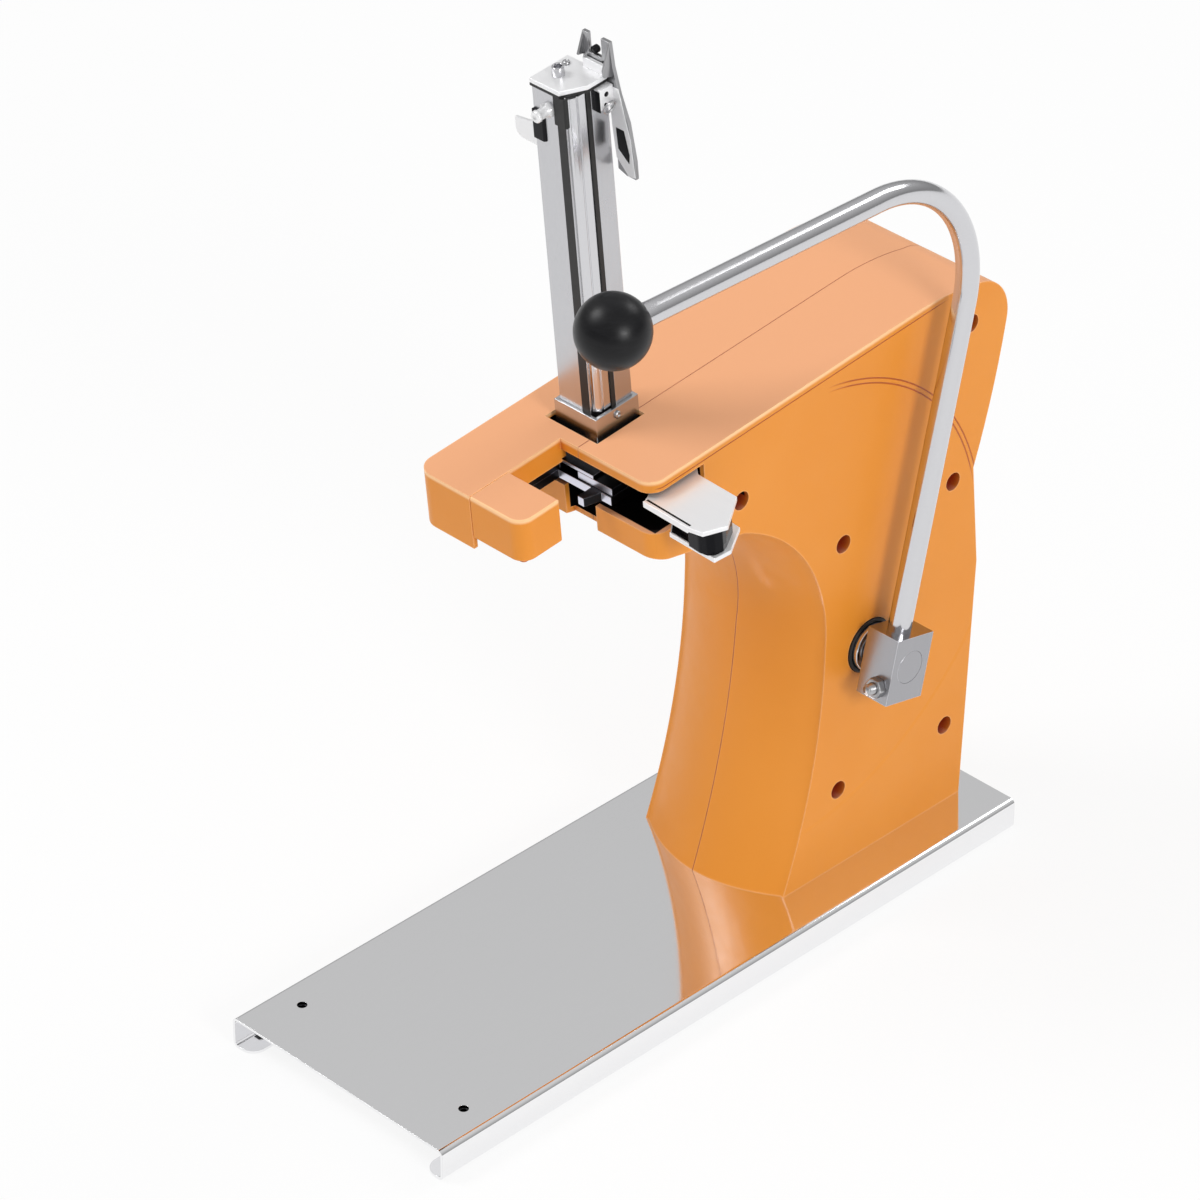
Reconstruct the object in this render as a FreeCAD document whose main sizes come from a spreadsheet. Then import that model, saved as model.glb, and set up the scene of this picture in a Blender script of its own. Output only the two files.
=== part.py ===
"""Bag neck sealer: a lever-operated clip sealer that stands on a shop counter.

Lengths are millimetres. X runs to the machine's right, the lever side, Y to its rear
and Z up. The origin is the centre of the base's footprint on the counter.

Four frames share the X axis:
- row: the origin named above
- body: on top of the base, at the rear edge of the column
- head: on the top face of the head, which leans forward by head_tilt
- lever: on the axis of the shaft, with Z along the lower leg of the lever
Distances called reach run forward, and those called depth run down from the head's top.
"""

import FreeCAD
import Part
import Sketcher
import math
import os
import re
from FreeCAD import Placement, Rotation, Vector

SIZES = {
    # Folded sheet base
    "base_width": 150, "base_length": 410, "base_height": 18, "base_sheet": 1.5,
    "base_bend": 3.3, "base_lip": 14, "lip_corner": 8,
    "mount_spacing": 115.4, "mount_inset": 30.7, "mount_radius": 2.6,
    # Column and head, as seen from the side
    "foot_inset": 15, "half_width": 49, "body_wall": 3,
    "foot_reach": 131.8, "shin_reach": 109.9, "shin_rise": 79.3,
    "waist_reach": 104.7, "waist_rise": 140.6, "throat_reach": 123.1, "throat_rise": 203.3,
    "chin_reach": 164.9, "chin_rise": 236.1,
    "nape_bulge": 6.8, "nape_rise": 141, "notch_bulge": 1.5, "notch_rise": 198.9,
    "crown_bulge": 21.9, "crown_rise": 276.9, "crown_reach": 50,
    "nose_foot": 16.2, "nose_waist": 13.5, "nose_throat": 9, "bow_back": 20, "bow_overlap": 6,
    "head_back": 187, "head_rise": 295.8, "head_tilt": 5.57,
    # Covers of the head
    "cover_reach": 42, "cover_wall": 2.5, "corner_round": 9, "jaw_round": 8,
    "lip_depth": 45, "lip_start": 9,
    "mouth_top": 6.5, "mouth_base": 30.5, "mouth_back": 7,
    "slot_left": 12, "slot_reach": 76.7, "slot_wall_depth": 14,
    "jaw_reach": 102.5, "jaw_right": 22.5, "jaw_depth": 24.3, "limb_depth": 31,
    # Steel plates of the clip channel
    "plate_depth": 19, "plate_thick": 5, "plate_margin": 4, "plate_rear": 35, "plate_right": 21.5,
    "clip_centre": 7.8, "clip_width": 11.4, "channel_gap": 0.4, "rail_high": 4.4,
    "rail_rear": 72, "guide_thick": 2, "die_long": 13, "die_high": 7, "lug_gap": 1.5,
    # Column frame
    "side_left": 34, "side_right": 30, "side_thick": 4, "side_front": 178, "side_rear": 6,
    "side_deep": 90, "side_step": 105, "tie_radius": 5, "tie_front": 84, "tie_rear": 22,
    "tie_neck": 14, "tie_low": 25, "tie_high": 235, "foot_screw_front": 14, "foot_screw_rear": 20,
    "foot_thick": 4, "foot_wide": 16,
    # Shaft, crank and link
    "shaft_forward": 72.7, "shaft_rise": 126.9, "shaft_radius": 9, "fit_gap": 0.05,
    "bush_radius": 13, "bush_long": 8, "ring_radius": 15, "ring_long": 5,
    "crank_length": 80.5, "crank_back": 27, "lever_travel": 48, "crank_thick": 7,
    "crank_pin_radius": 4, "eye_wall": 3.5,
    "link_thick": 5, "link_run": 34, "pin_depth": 40, "slide_pin_radius": 3, "pin_slack": 0.8,
    "slot_drop": 10, "spring_radius": 14, "spring_long": 16,
    # Punch
    "punch_back": 9, "blade_long": 30, "slider_long": 85, "slider_gap": 0.05, "lug_long": 10,
    # Lever
    "lever_side": 67, "lever_lean": 12.8, "block_wide": 20, "block_deep": 26.6, "block_high": 36,
    "rod_radius": 6, "rod_offset": 1.6, "rod_rise": 278.2, "rod_reach": 259.6,
    "rod_bend": 68, "rod_turn": 101.6, "rod_seat": 10, "ball_radius": 18.4,
    "clamp_radius": 3, "clamp_drop": 7, "clamp_nut_radius": 5.5,
    # Gathering arm
    "arm_right": 34, "arm_forward": 4, "arm_upper": 9, "arm_lower": 25.2, "arm_thick": 2.5,
    "arm_reach": 45.3, "arm_out": 89.3, "arm_pin_radius": 3.5,
    # Magazine
    "mag_left": 24.8, "mag_wide": 24.5, "mag_front": 28.5, "mag_deep": 24.5, "mag_sheet": 1.5,
    "mag_top": 188, "cap_thick": 4, "foot_sheet": 2, "foot_top": 10, "well_gap": 3.5,
    "stack_top": 35, "clip_deep": 14, "pusher_drop": 38, "pusher_high": 20, "tab_out": 19,
    "latch_right": 1.2, "latch_rise": 4.7, "latch_thick": 2,
    # Fasteners
    "screw_radius": 2.2, "screw_head_high": 3, "recess_radius": 5, "recess_wall": 2,
    "chin_recess_reach": 166.9, "chin_recess_rise": 255.8,
    "throat_recess_reach": 93.5, "throat_recess_rise": 196.8,
    "nape_recess_reach": 13.6, "nape_recess_rise": 197.2,
    "heel_recess_reach": 13.2, "heel_recess_rise": 48.3,
    "shin_recess_reach": 92.6, "shin_recess_rise": 47.6,
    "crown_recess_reach": 4.4, "crown_recess_rise": 285.6,
}

RECESSES = ("chin_recess", "throat_recess", "nape_recess", "heel_recess", "shin_recess", "crown_recess")

FRAMES = {
    "row": ("0", "0", "0"),
    "body": ("base_length / 2 - foot_inset", "base_height", "0"),
    "head": ("base_length / 2 - foot_inset - head_back", "base_height + head_rise", "head_tilt"),
    "lever": ("base_length / 2 - foot_inset - shaft_forward", "base_height + shaft_rise",
              "lever_lean"),
    "crank": ("base_length / 2 - foot_inset - shaft_forward", "base_height + shaft_rise",
              "crank_back - head_tilt"),
}
TILT_AXIS = {"row": 1, "body": 1, "head": 1, "lever": -1, "crank": -1}

SHAFT_Y = "((head_back - shaft_forward) * cos(head_tilt) - (head_rise - shaft_rise) * sin(head_tilt))"
SHAFT_Z = "(-(head_back - shaft_forward) * sin(head_tilt) - (head_rise - shaft_rise) * cos(head_tilt))"
CRANK_Y = SHAFT_Y + " + crank_length * sin(crank_back)"
CRANK_Z = SHAFT_Z + " + crank_length * cos(crank_back)"
SLIDE_Y = CRANK_Y + " - link_run"
PLATE_BASE = "plate_depth + plate_thick"
SLIDE_END = SLIDE_Y + " - crank_length * (sin(crank_back) + sin(lever_travel - crank_back))"
PUSHER_BASE = "(mag_top - pusher_drop)"
LATCH_HEIGHT = "(mag_top + cap_thick + latch_rise)"
RAIL_TOP = "plate_depth - rail_high"
GUIDE_TOP = "plate_depth - rail_high - guide_thick"
CHANNEL = "(clip_width / 2 + channel_gap)"

doc = FreeCAD.newDocument("bag_neck_sealer")
sheet = doc.addObject("Spreadsheet::Sheet", "Sizes")
nodes = []


def fill_sheet():
    """Write each driving size into its own row, with an alias."""
    for row, (alias, value) in enumerate(SIZES.items(), start=1):
        sheet.set(f"A{row}", alias)
        sheet.set(f"B{row}", str(value))
        sheet.setAlias(f"B{row}", alias)
    doc.recompute()


def linked(text):
    """Point the sizes that an expression names at the sheet."""
    return re.sub(r"\b[a-z]+(?:_[a-z]+)+\b", lambda found: "Sizes." + found.group(0), text)


def bind(item, **sizes):
    """Bind properties of an object; two underscores stand for a dot."""
    for name, text in sizes.items():
        item.setExpression(name.replace("__", "."), linked(str(text)))
    return item


def finish(item, node, frame):
    """Name a finished sub-part and set it in its frame; a primitive keeps its own place in it."""
    if item.TypeId in ("Part::Box", "Part::Cylinder"):
        holder = doc.addObject("Part::Compound", node + "_holder")
        holder.Links = [item]
        item = holder
    place_y, place_z, angle = FRAMES[frame]
    item.Placement = Placement(Vector(), Rotation(Vector(TILT_AXIS[frame], 0, 0), 1))
    bind(item, Placement__Base__y=place_y, Placement__Base__z=place_z,
         Placement__Rotation__Angle=angle)
    item.Label = node
    nodes.append(item)
    return item


def block(name, left, right, front, rear, base, top):
    """Box between six expressions: X left and right, Y front and rear, Z base and top."""
    item = doc.addObject("Part::Box", name)
    return bind(item, Length=f"({right}) - ({left})", Width=f"({rear}) - ({front})",
                Height=f"({top}) - ({base})", Placement__Base__x=left,
                Placement__Base__y=front, Placement__Base__z=base)


def post(name, radius, along, start, end, first, second):
    """Cylinder along X, Y or Z from start to end; first and second place its axis."""
    item = doc.addObject("Part::Cylinder", name)
    turns = {"X": Rotation(Vector(0, 1, 0), 90), "Y": Rotation(Vector(1, 0, 0), -90),
             "Z": Rotation()}
    places = {"X": (start, first, second), "Y": (first, start, second), "Z": (first, second, start)}
    item.Placement = Placement(Vector(), turns[along])
    place_x, place_y, place_z = places[along]
    return bind(item, Radius=radius, Height=f"({end}) - ({start})", Placement__Base__x=place_x,
                Placement__Base__y=place_y, Placement__Base__z=place_z)


def joined(name, items):
    """Union of several objects."""
    item = doc.addObject("Part::MultiFuse", name)
    item.Shapes = items
    return item


def cut_from(name, base, tools):
    """Object with one or more tools cut out of it."""
    item = doc.addObject("Part::Cut", name)
    item.Base = base
    item.Tool = tools[0] if len(tools) == 1 else joined(name + "_tools", tools)
    return item


def outline_sketch(body, name, role, points, offset):
    """Closed outline on an origin plane of a body, every corner bound to the sheet."""
    sketch = body.newObject("Sketcher::SketchObject", name)
    plane = next(item for item in body.Origin.OriginFeatures if item.Role == role)
    sketch.AttachmentSupport = [(plane, "")]
    sketch.MapMode = "FlatFace"
    bind(sketch, AttachmentOffset__Base__z=offset)
    import_corners(sketch, points)
    return sketch


def import_corners(sketch, points):
    """Draw a polygon and pin each corner by two distances from the sketch's origin."""
    count = len(points)
    spots = [Vector(50 * math.cos(2 * math.pi * k / count), 50 * math.sin(2 * math.pi * k / count), 0)
             for k in range(count)]
    for k in range(count):
        sketch.addGeometry(Part.LineSegment(spots[k], spots[(k + 1) % count]), False)
    for k in range(count):
        sketch.addConstraint(Sketcher.Constraint("Coincident", k, 2, (k + 1) % count, 1))
    for k, (across, up) in enumerate(points):
        for kind, text, start in (("DistanceX", across, spots[k].x), ("DistanceY", up, spots[k].y)):
            index = sketch.addConstraint(Sketcher.Constraint(kind, -1, 1, k, 1, start))
            title = f"{kind[-1].lower()}_{k}"
            sketch.renameConstraint(index, title)
            sketch.setExpression("Constraints." + title, linked(str(text)))


def plate(name, role, points, start, thick):
    """Padded outline: XY_Plane pads along +Z, YZ_Plane along +X, from start."""
    body = doc.addObject("PartDesign::Body", name + "_body")
    sketch = outline_sketch(body, name + "_sketch", role, points, start)
    pad = body.newObject("PartDesign::Pad", name + "_pad")
    pad.Profile = sketch
    bind(pad, Length=thick)
    sketch.Visibility = False
    return body


def solid(node, shape, frame):
    """Sub-part whose shape is worked out from the sheet's values."""
    item = doc.addObject("Part::Feature", node)
    item.Shape = shape
    return finish(item, node, frame)


def base_plate():
    """Folded channel with inward lips, two bolt holes in front and four under the column."""
    outer = [("-base_width / 2", "0"), ("base_width / 2", "0"),
             ("base_width / 2", "base_height"), ("-base_width / 2", "base_height")]
    body = doc.addObject("PartDesign::Body", "base_body")
    plane_start = "-base_length / 2"
    sketch = outline_sketch(body, "base_sketch", "XZ_Plane", outer, plane_start)
    pad = body.newObject("PartDesign::Pad", "base_pad")
    pad.Profile = sketch
    bind(pad, Length="base_length")
    doc.recompute()
    bends = body.newObject("PartDesign::Fillet", "base_bends")
    long_edges = [f"Edge{k}" for k, edge in enumerate(pad.Shape.Edges, start=1)
                  if edge.BoundBox.YLength > 1 and edge.BoundBox.XLength < 0.1]
    bends.Base = (pad, long_edges)
    bind(bends, Radius="base_bend")
    hollow = block("base_hollow", "-base_width / 2 + base_sheet", "base_width / 2 - base_sheet",
                   "-base_length / 2 - base_sheet", "base_length / 2 + base_sheet",
                   "base_sheet", "base_height - base_sheet")
    hollow_bends = doc.addObject("Part::Fillet", "base_hollow_bends")
    hollow_bends.Base = hollow
    doc.recompute()
    inner = max(sheet.base_bend - sheet.base_sheet, 0.2)
    hollow_bends.Edges = [(k, inner, inner) for k, edge in enumerate(hollow.Shape.Edges, start=1)
                          if edge.BoundBox.YLength > 1]
    gap = block("base_gap", "-base_width / 2 + base_lip", "base_width / 2 - base_lip",
                "-base_length / 2 - base_sheet", "base_length / 2 + base_sheet",
                "-base_sheet", "base_sheet * 2")
    holes = [post(f"mount_hole_{side}", "mount_radius", "Z", "0", "base_height * 2",
                  f"{side} * mount_spacing / 2", "-base_length / 2 + mount_inset")
             for side in (-1, 1)]
    for k, (across, along) in enumerate(foot_screw_places()):
        holes.append(post(f"foot_hole_{k}", "screw_radius + fit_gap", "Z", "0", "base_height * 2",
                          across, along + " + base_length / 2 - foot_inset"))
    channel = cut_from("base_cut", body, [hollow_bends, gap] + holes)
    doc.recompute()
    inner_edge = sheet.base_width / 2 - sheet.base_lip
    corners = [k for k, edge in enumerate(channel.Shape.Edges, start=1)
               if edge.BoundBox.XLength < 0.1 and edge.BoundBox.YLength < 0.1
               and abs(abs(edge.CenterOfMass.x) - inner_edge) < 0.1
               and abs(abs(edge.CenterOfMass.y) - sheet.base_length / 2) < 0.1]
    rounded = doc.addObject("Part::Fillet", "base_lip_rounds")
    rounded.Base = channel
    rounded.Edges = [(k, sheet.lip_corner, sheet.lip_corner) for k in corners]
    finish(rounded, "base_plate", "row")


def foot_screw_places():
    """X and body-frame Y of the four screws that hold the column's frame."""
    return [(across, along) for across in ("-side_left + side_thick + foot_wide / 2",
                                           "side_right - side_thick - foot_wide / 2")
            for along in ("-side_rear - side_deep + foot_screw_front", "-side_rear - foot_screw_rear")]


def body_point(reach, rise):
    """Point of the side outline, forward of the column's rear edge."""
    return Vector(0, -reach, rise)


def head_point(forward, depth):
    """Point of the head's frame, written in the body frame."""
    tilt = math.radians(sheet.head_tilt)
    return Vector(0, -sheet.head_back - forward * math.cos(tilt) + depth * math.sin(tilt),
                  sheet.head_rise - forward * math.sin(tilt) - depth * math.cos(tilt))


def curve(first, middle, last):
    """Arc through three points as an edge."""
    return Part.Arc(first, middle, last).toShape()


def side_face(inset):
    """Side outline of column and head as a face, drawn in by an inset."""
    foot = body_point(sheet.foot_reach, 0)
    waist = body_point(sheet.waist_reach, sheet.waist_rise)
    chin = body_point(sheet.chin_reach, sheet.chin_rise)
    lip = head_point(sheet.cover_reach, sheet.lip_depth)
    brow = head_point(sheet.cover_reach, 0)
    crown = head_point(sheet.crown_reach - sheet.head_back, 0)
    back_top = body_point(-sheet.crown_bulge, sheet.crown_rise)
    round_top = body_point(2, crown.z - 2)
    shoulder = body_point(6 - sheet.crown_bulge, (crown.z + sheet.crown_rise) / 2 + 6)
    hollow_rise = (sheet.crown_rise + sheet.notch_rise) / 2 - 2
    notch = body_point(-sheet.notch_bulge, sheet.notch_rise)
    nape = body_point(-sheet.nape_bulge, sheet.nape_rise)
    heel = body_point(0, 0)
    line = Part.LineSegment
    edges = [
        curve(foot, body_point(sheet.shin_reach, sheet.shin_rise), waist),
        curve(waist, body_point(sheet.throat_reach, sheet.throat_rise), chin),
        line(chin, lip).toShape(),
        line(lip, brow).toShape(),
        line(brow, crown).toShape(),
        curve(crown, body_point(sheet.crown_reach / 2, crown.z + 0.8), round_top),
        curve(round_top, shoulder, back_top),
        curve(back_top, body_point(9 - sheet.crown_bulge, hollow_rise), notch),
        line(notch, nape).toShape(),
        line(nape, heel).toShape(),
        line(heel, foot).toShape(),
    ]
    face = Part.Face(Part.Wire(edges))
    if inset > 0:
        face = face.makeOffset2D(-inset, join=2)
    return face


def bow_section(across, share, inset):
    """Section of the bowed front at one distance across; share is its part of the full bow."""
    foot = body_point(sheet.foot_reach + share * sheet.nose_foot - inset, -inset)
    shin = body_point(sheet.shin_reach + share * sheet.nose_foot - inset, sheet.shin_rise)
    waist = body_point(sheet.waist_reach + share * sheet.nose_waist - inset, sheet.waist_rise)
    slant = 0.7 * share * sheet.nose_throat - 0.7 * inset
    throat = body_point(sheet.throat_reach + slant, sheet.throat_rise - slant)
    chin = body_point(sheet.chin_reach + slant / 2, sheet.chin_rise - slant)
    lip = head_point(sheet.cover_reach - inset - sheet.bow_overlap,
                     sheet.lip_depth - inset - sheet.bow_overlap)
    inside = body_point(sheet.waist_reach - sheet.bow_back, sheet.chin_rise + sheet.bow_overlap)
    back = body_point(sheet.waist_reach - sheet.bow_back, -inset)
    line = Part.LineSegment
    edges = [curve(foot, shin, waist), curve(waist, throat, chin), line(chin, lip).toShape(),
             line(lip, inside).toShape(), line(inside, back).toShape(), line(back, foot).toShape()]
    wire = Part.Wire(edges)
    wire.translate(Vector(across, 0, 0))
    return wire


def bow(half, inset):
    """Bowed front of the column, full at the middle and nothing at the sides."""
    shares = (-1, -0.75, -0.5, -0.25, 0, 0.25, 0.5, 0.75, 1)
    edge_step = 0.03
    wires = [bow_section(half * place, 1 - place * place - edge_step, inset) for place in shares]
    return Part.makeLoft(wires, True, False)


def whole_cover():
    """Hollow cover of column and head, both halves in one, in the body frame."""
    half = sheet.half_width
    wall = sheet.body_wall
    slab = side_face(0).extrude(Vector(2 * half, 0, 0))
    slab.translate(Vector(-half, 0, 0))
    outer = slab.fuse(bow(half - wall / 2, 0)).cut(head_corner(0))
    room = side_face(wall).extrude(Vector(2 * (half - wall), 0, 0))
    room.translate(Vector(wall - half, 0, 0))
    foot_room = Part.makeBox(2 * (half - wall), sheet.foot_reach - 2 * wall, 3 * wall,
                             Vector(wall - half, wall - sheet.foot_reach, -wall))
    inner = room.fuse([foot_room, bow(half - 1.5 * wall, wall)]).cut(head_corner(wall))
    return outer.cut(inner)


def head_corner(inset):
    """What rounds the head's right front corner off, drawn in by an inset."""
    far = sheet.half_width
    radius = sheet.corner_round
    depth = 2 * sheet.lip_depth
    block_shape = head_box(sheet.half_width - radius, far + radius, -sheet.cover_reach - radius,
                           -sheet.cover_reach + radius, -depth, radius)
    post_shape = Part.makeCylinder(radius - inset, depth + radius,
                                   Vector(sheet.half_width - radius, radius - sheet.cover_reach, -depth))
    post_shape.Placement = Placement(Vector(0, -sheet.head_back, sheet.head_rise),
                                     Rotation(Vector(1, 0, 0), sheet.head_tilt)) * post_shape.Placement
    return block_shape.cut(post_shape)


def head_box(left, right, front, rear, base, top, rounds=()):
    """Box in the head's frame, written in the body frame; rounds are (x, y, radius)."""
    shape = Part.makeBox(right - left, rear - front, top - base, Vector(left, front, base))
    for across, along, radius in rounds:
        edges = [edge for edge in shape.Edges if edge.BoundBox.ZLength > 1
                 and edge.BoundBox.XLength < 0.1 and edge.BoundBox.YLength < 0.1
                 and abs(edge.CenterOfMass.x - across) < 0.1
                 and abs(edge.CenterOfMass.y - along) < 0.1]
        shape = shape.makeFillet(radius, edges)
    origin = Vector(0, -sheet.head_back, sheet.head_rise)
    shape.Placement = Placement(origin, Rotation(Vector(1, 0, 0), sheet.head_tilt))
    return shape


def head_openings():
    """What is cut out of the head: the mouth, the well of the magazine, the way to the arm."""
    far = 2 * sheet.half_width
    wall = sheet.body_wall
    mouth = head_box(-sheet.slot_left, far, -sheet.cover_reach - wall, -sheet.cover_reach + 2 * wall,
                     -sheet.mouth_base, -sheet.mouth_top)
    mouth_side = head_box(sheet.half_width - 2 * wall, far, -sheet.cover_reach - wall,
                          -sheet.mouth_back, -sheet.mouth_base, -sheet.mouth_top)
    lip_gap = head_box(-sheet.slot_left, sheet.lip_start, -sheet.cover_reach - wall,
                       -sheet.cover_reach + 2 * wall, -sheet.lip_depth - 2 * wall, -sheet.mouth_top)
    well = head_box(-sheet.mag_left - sheet.foot_sheet - sheet.well_gap,
                    sheet.mag_wide - sheet.mag_left + sheet.foot_sheet + sheet.well_gap,
                    -sheet.mag_front - sheet.foot_sheet - sheet.well_gap,
                    sheet.mag_deep - sheet.mag_front + sheet.foot_sheet, -2 * wall, wall)
    way = head_box(-sheet.half_width + wall, -sheet.slot_left - wall,
                   -sheet.cover_reach - wall, -sheet.cover_reach + 2 * wall,
                   -sheet.limb_depth + wall, -wall)
    guide_top = sheet.plate_depth - sheet.rail_high - sheet.guide_thick - 0.5
    beside = head_box(-sheet.slot_left - 2 * wall, -sheet.slot_left + 1, -sheet.cover_reach - wall,
                      -sheet.cover_reach + 2 * wall, -sheet.limb_depth + wall, -guide_top)
    return [mouth, mouth_side, lip_gap, well, way, beside]


def recess_cups(side, plate_face):
    """Screw recesses of one half: cups that reach in to the side plate."""
    cups = []
    holes = []
    outer_face = side * sheet.half_width
    along = Vector(side, 0, 0)
    cup_long = abs(outer_face - plate_face)
    for name in RECESSES:
        reach = getattr(sheet, name + "_reach")
        rise = getattr(sheet, name + "_rise")
        start = Vector(plate_face, -reach, rise)
        cups.append(Part.makeCylinder(sheet.recess_radius + sheet.recess_wall,
                                      cup_long - sheet.body_wall / 2, start, along))
        floor = Vector(plate_face + side * sheet.recess_wall, -reach, rise)
        holes.append(Part.makeCylinder(sheet.recess_radius, cup_long, floor, along))
        holes.append(Part.makeCylinder(sheet.screw_radius + sheet.fit_gap, cup_long, start, along))
    return cups, holes


def shells():
    """The two painted covers, split down the middle."""
    cover = whole_cover().cut(head_openings())
    far = 1000
    for node, side in (("left_shell", -1), ("right_shell", 1)):
        half_space = Part.makeBox(far, 2 * far, 2 * far, Vector(min(0, side * far), -far, -far))
        plate_face = sheet.side_right if side > 0 else -sheet.side_left
        cups, holes = recess_cups(side, plate_face)
        shape = cover.common(half_space).fuse(cups).cut(holes)
        if side > 0:
            bore = sheet.ring_radius + 0.3
            start = Vector(0, -sheet.shaft_forward, sheet.shaft_rise)
            shape = shape.cut(Part.makeCylinder(bore, far, start, Vector(1, 0, 0)))
        else:
            shape = shape.fuse(limb()).removeSplitter()
        solid(node, shape, "body")


def limb():
    """Arm of the left cover, which goes round the neck slot to the jaw."""
    wall = sheet.cover_wall
    left = -sheet.half_width
    right = -sheet.slot_left
    front = -sheet.jaw_reach
    rear = -sheet.cover_reach
    outer = head_box(left, right, front, rear, -sheet.limb_depth, 0, [(left, front, 10)])
    room = head_box(left + wall, right - wall, front + wall, rear + wall, -sheet.limb_depth - wall,
                    -wall, [(left + wall, front + wall, 10 - wall)])
    slot_low = head_box(right - 2 * wall, right + wall, front + wall, rear + wall,
                        -sheet.limb_depth - wall, -sheet.slot_wall_depth)
    to_jaw = head_box(right - 2 * wall, right + wall, front + wall, -sheet.slot_reach,
                      -sheet.limb_depth - wall, -wall)
    return outer.cut([room, slot_low, to_jaw])


def jaw_cover():
    """Tray over the right part of the jaw, with a window for the die."""
    wall = "cover_wall"
    outer = block("jaw_outer", "-slot_left", "jaw_right", "-jaw_reach", "-slot_reach",
                  "-jaw_depth", "0")
    room = block("jaw_room", "-slot_left - 1", f"jaw_right - {wall}", f"-jaw_reach + {wall}",
                 f"-slot_reach - {wall}", "-jaw_depth - 1", f"-{wall}")
    window = block("jaw_window", "-slot_left - 1", "-clip_centre + clip_width / 2 + 1",
                   "-slot_reach - 5", "-slot_reach + 1", "-jaw_depth - 1",
                   "-plate_depth + die_high + 1")
    rounded = doc.addObject("Part::Fillet", "jaw_rounded")
    rounded.Base = outer
    doc.recompute()
    corner = Vector(sheet.jaw_right, -sheet.jaw_reach, -sheet.jaw_depth / 2)
    rounded.Edges = [(k, sheet.jaw_round, sheet.jaw_round)
                     for k, edge in enumerate(outer.Shape.Edges, start=1)
                     if edge.CenterOfMass.distanceToPoint(corner) < 0.1]
    finish(cut_from("jaw_cut", rounded, [room, window]), "jaw_cover", "head")


def c_frame():
    """Steel plate around the neck slot, open to the right, with an ear for the arm's pin."""
    left = "-half_width + body_wall + 0.5"
    front = "-jaw_reach + plate_margin"
    cut = "corner_round"
    jaw_back = "-slot_reach - cover_wall"
    slot = "-slot_left - cover_wall + 0.5"
    lug = ("-clip_centre - lug_gap - clip_width / 2 + 1", "-clip_centre + lug_gap + clip_width / 2 - 1")
    lug_front = SLIDE_END + " - lug_long / 2 - lug_gap"
    ear_front = "-arm_forward - 8"
    ear_rear = "-arm_forward + 8"
    points = [(left, f"{front} + {cut}"), (f"{left} + {cut}", front),
              (f"jaw_right - plate_margin - {cut} / 2", front),
              ("jaw_right - plate_margin", f"{front} + {cut} / 2"), ("jaw_right - plate_margin", jaw_back),
              (slot, jaw_back), (slot, "-cover_reach - 1"), ("8", "-cover_reach - 1"),
              ("8", "-cover_reach - 10"), ("12", "-cover_reach - 10"),
              ("15", "-cover_reach - 1"), ("plate_right", "-cover_reach - 1"),
              ("plate_right", ear_front), ("arm_right + 8", ear_front), ("arm_right + 8", ear_rear),
              ("plate_right", ear_rear), ("plate_right", "plate_rear"), (lug[1], "plate_rear"),
              (lug[1], lug_front), (lug[0], lug_front), (lug[0], "plate_rear"), (left, "plate_rear")]
    body = plate("c_frame", "XY_Plane", points, f"-({PLATE_BASE})", "plate_thick")
    hole = post("c_frame_hole", "arm_pin_radius + fit_gap", "Z", f"-({PLATE_BASE}) - 1",
                "-plate_depth + 1", "arm_right", "-arm_forward")
    finish(cut_from("c_frame_cut", body, [hole]), "c_frame", "head")


def guide_rails():
    """Two rails on the plate and the cover over them: the channel of the punch."""
    left = "-half_width + body_wall + 0.5"
    slot = "-slot_left - cover_wall + 0.5"
    inner_left = f"-clip_centre - {CHANNEL}"
    inner_right = f"-clip_centre + {CHANNEL}"
    points = [(left, "-slot_reach"), (slot, "-slot_reach"), (slot, "-cover_reach"),
              (inner_left, "-cover_reach"), (inner_left, "rail_rear"), (left, "rail_rear")]
    rail = plate("rail_left", "XY_Plane", points, "-plate_depth", "rail_high")
    finish(rail, "guide_rail_left", "head")
    other = block("rail_right", inner_right, "plate_right", "-cover_reach", "rail_rear",
                  "-plate_depth", "-plate_depth + rail_high")
    finish(other, "guide_rail_right", "head")
    lid = block("guide_lid", "-clip_centre - 17", "-clip_centre + 17", "-cover_reach", "rail_rear",
                f"-({RAIL_TOP})", f"-({GUIDE_TOP})")
    window = block("guide_window", "-clip_centre - clip_width / 2", "-clip_centre + clip_width / 2",
                   "-mag_front + 6", "-mag_front + mag_deep - 2", f"-({RAIL_TOP}) - 1",
                   f"-({GUIDE_TOP}) + 1")
    finish(cut_from("guide_cut", lid, [window]), "guide_cover", "head")
    heads = [post(f"guide_screw_{k}", "3.5", "Z", f"-({GUIDE_TOP})", f"-({GUIDE_TOP}) + 2",
                  f"-clip_centre + {side} * 12", along)
             for k, (side, along) in enumerate(((-1, "25"), (1, "25"), (-1, "62"), (1, "62")))]
    finish(joined("guide_screw_heads", heads), "guide_screws", "head")


def jaw_parts():
    """Die block on the plate's front limb, and the posts that carry the jaw's cover."""
    die = block("die", "-clip_centre - clip_width / 2 - 0.5", "-clip_centre + clip_width / 2",
                "-slot_reach - cover_wall - die_long", "-slot_reach - cover_wall",
                "-plate_depth", "-plate_depth + die_high")
    finish(die, "die_block", "head")
    posts = [post(f"jaw_post_{k}", "4", "Z", "-plate_depth", "-cover_wall", across, "-jaw_reach + 13")
             for k, across in enumerate(("jaw_right - 12", "-half_width + 15"))]
    finish(joined("jaw_posts", posts), "jaw_standoffs", "head")


def on_plate_line(reach, depth):
    """Height in the body frame of a plane under the head's top, at a reach."""
    return f"head_rise + (head_back - ({reach})) * tan(head_tilt) - ({depth}) / cos(head_tilt)"


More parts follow.
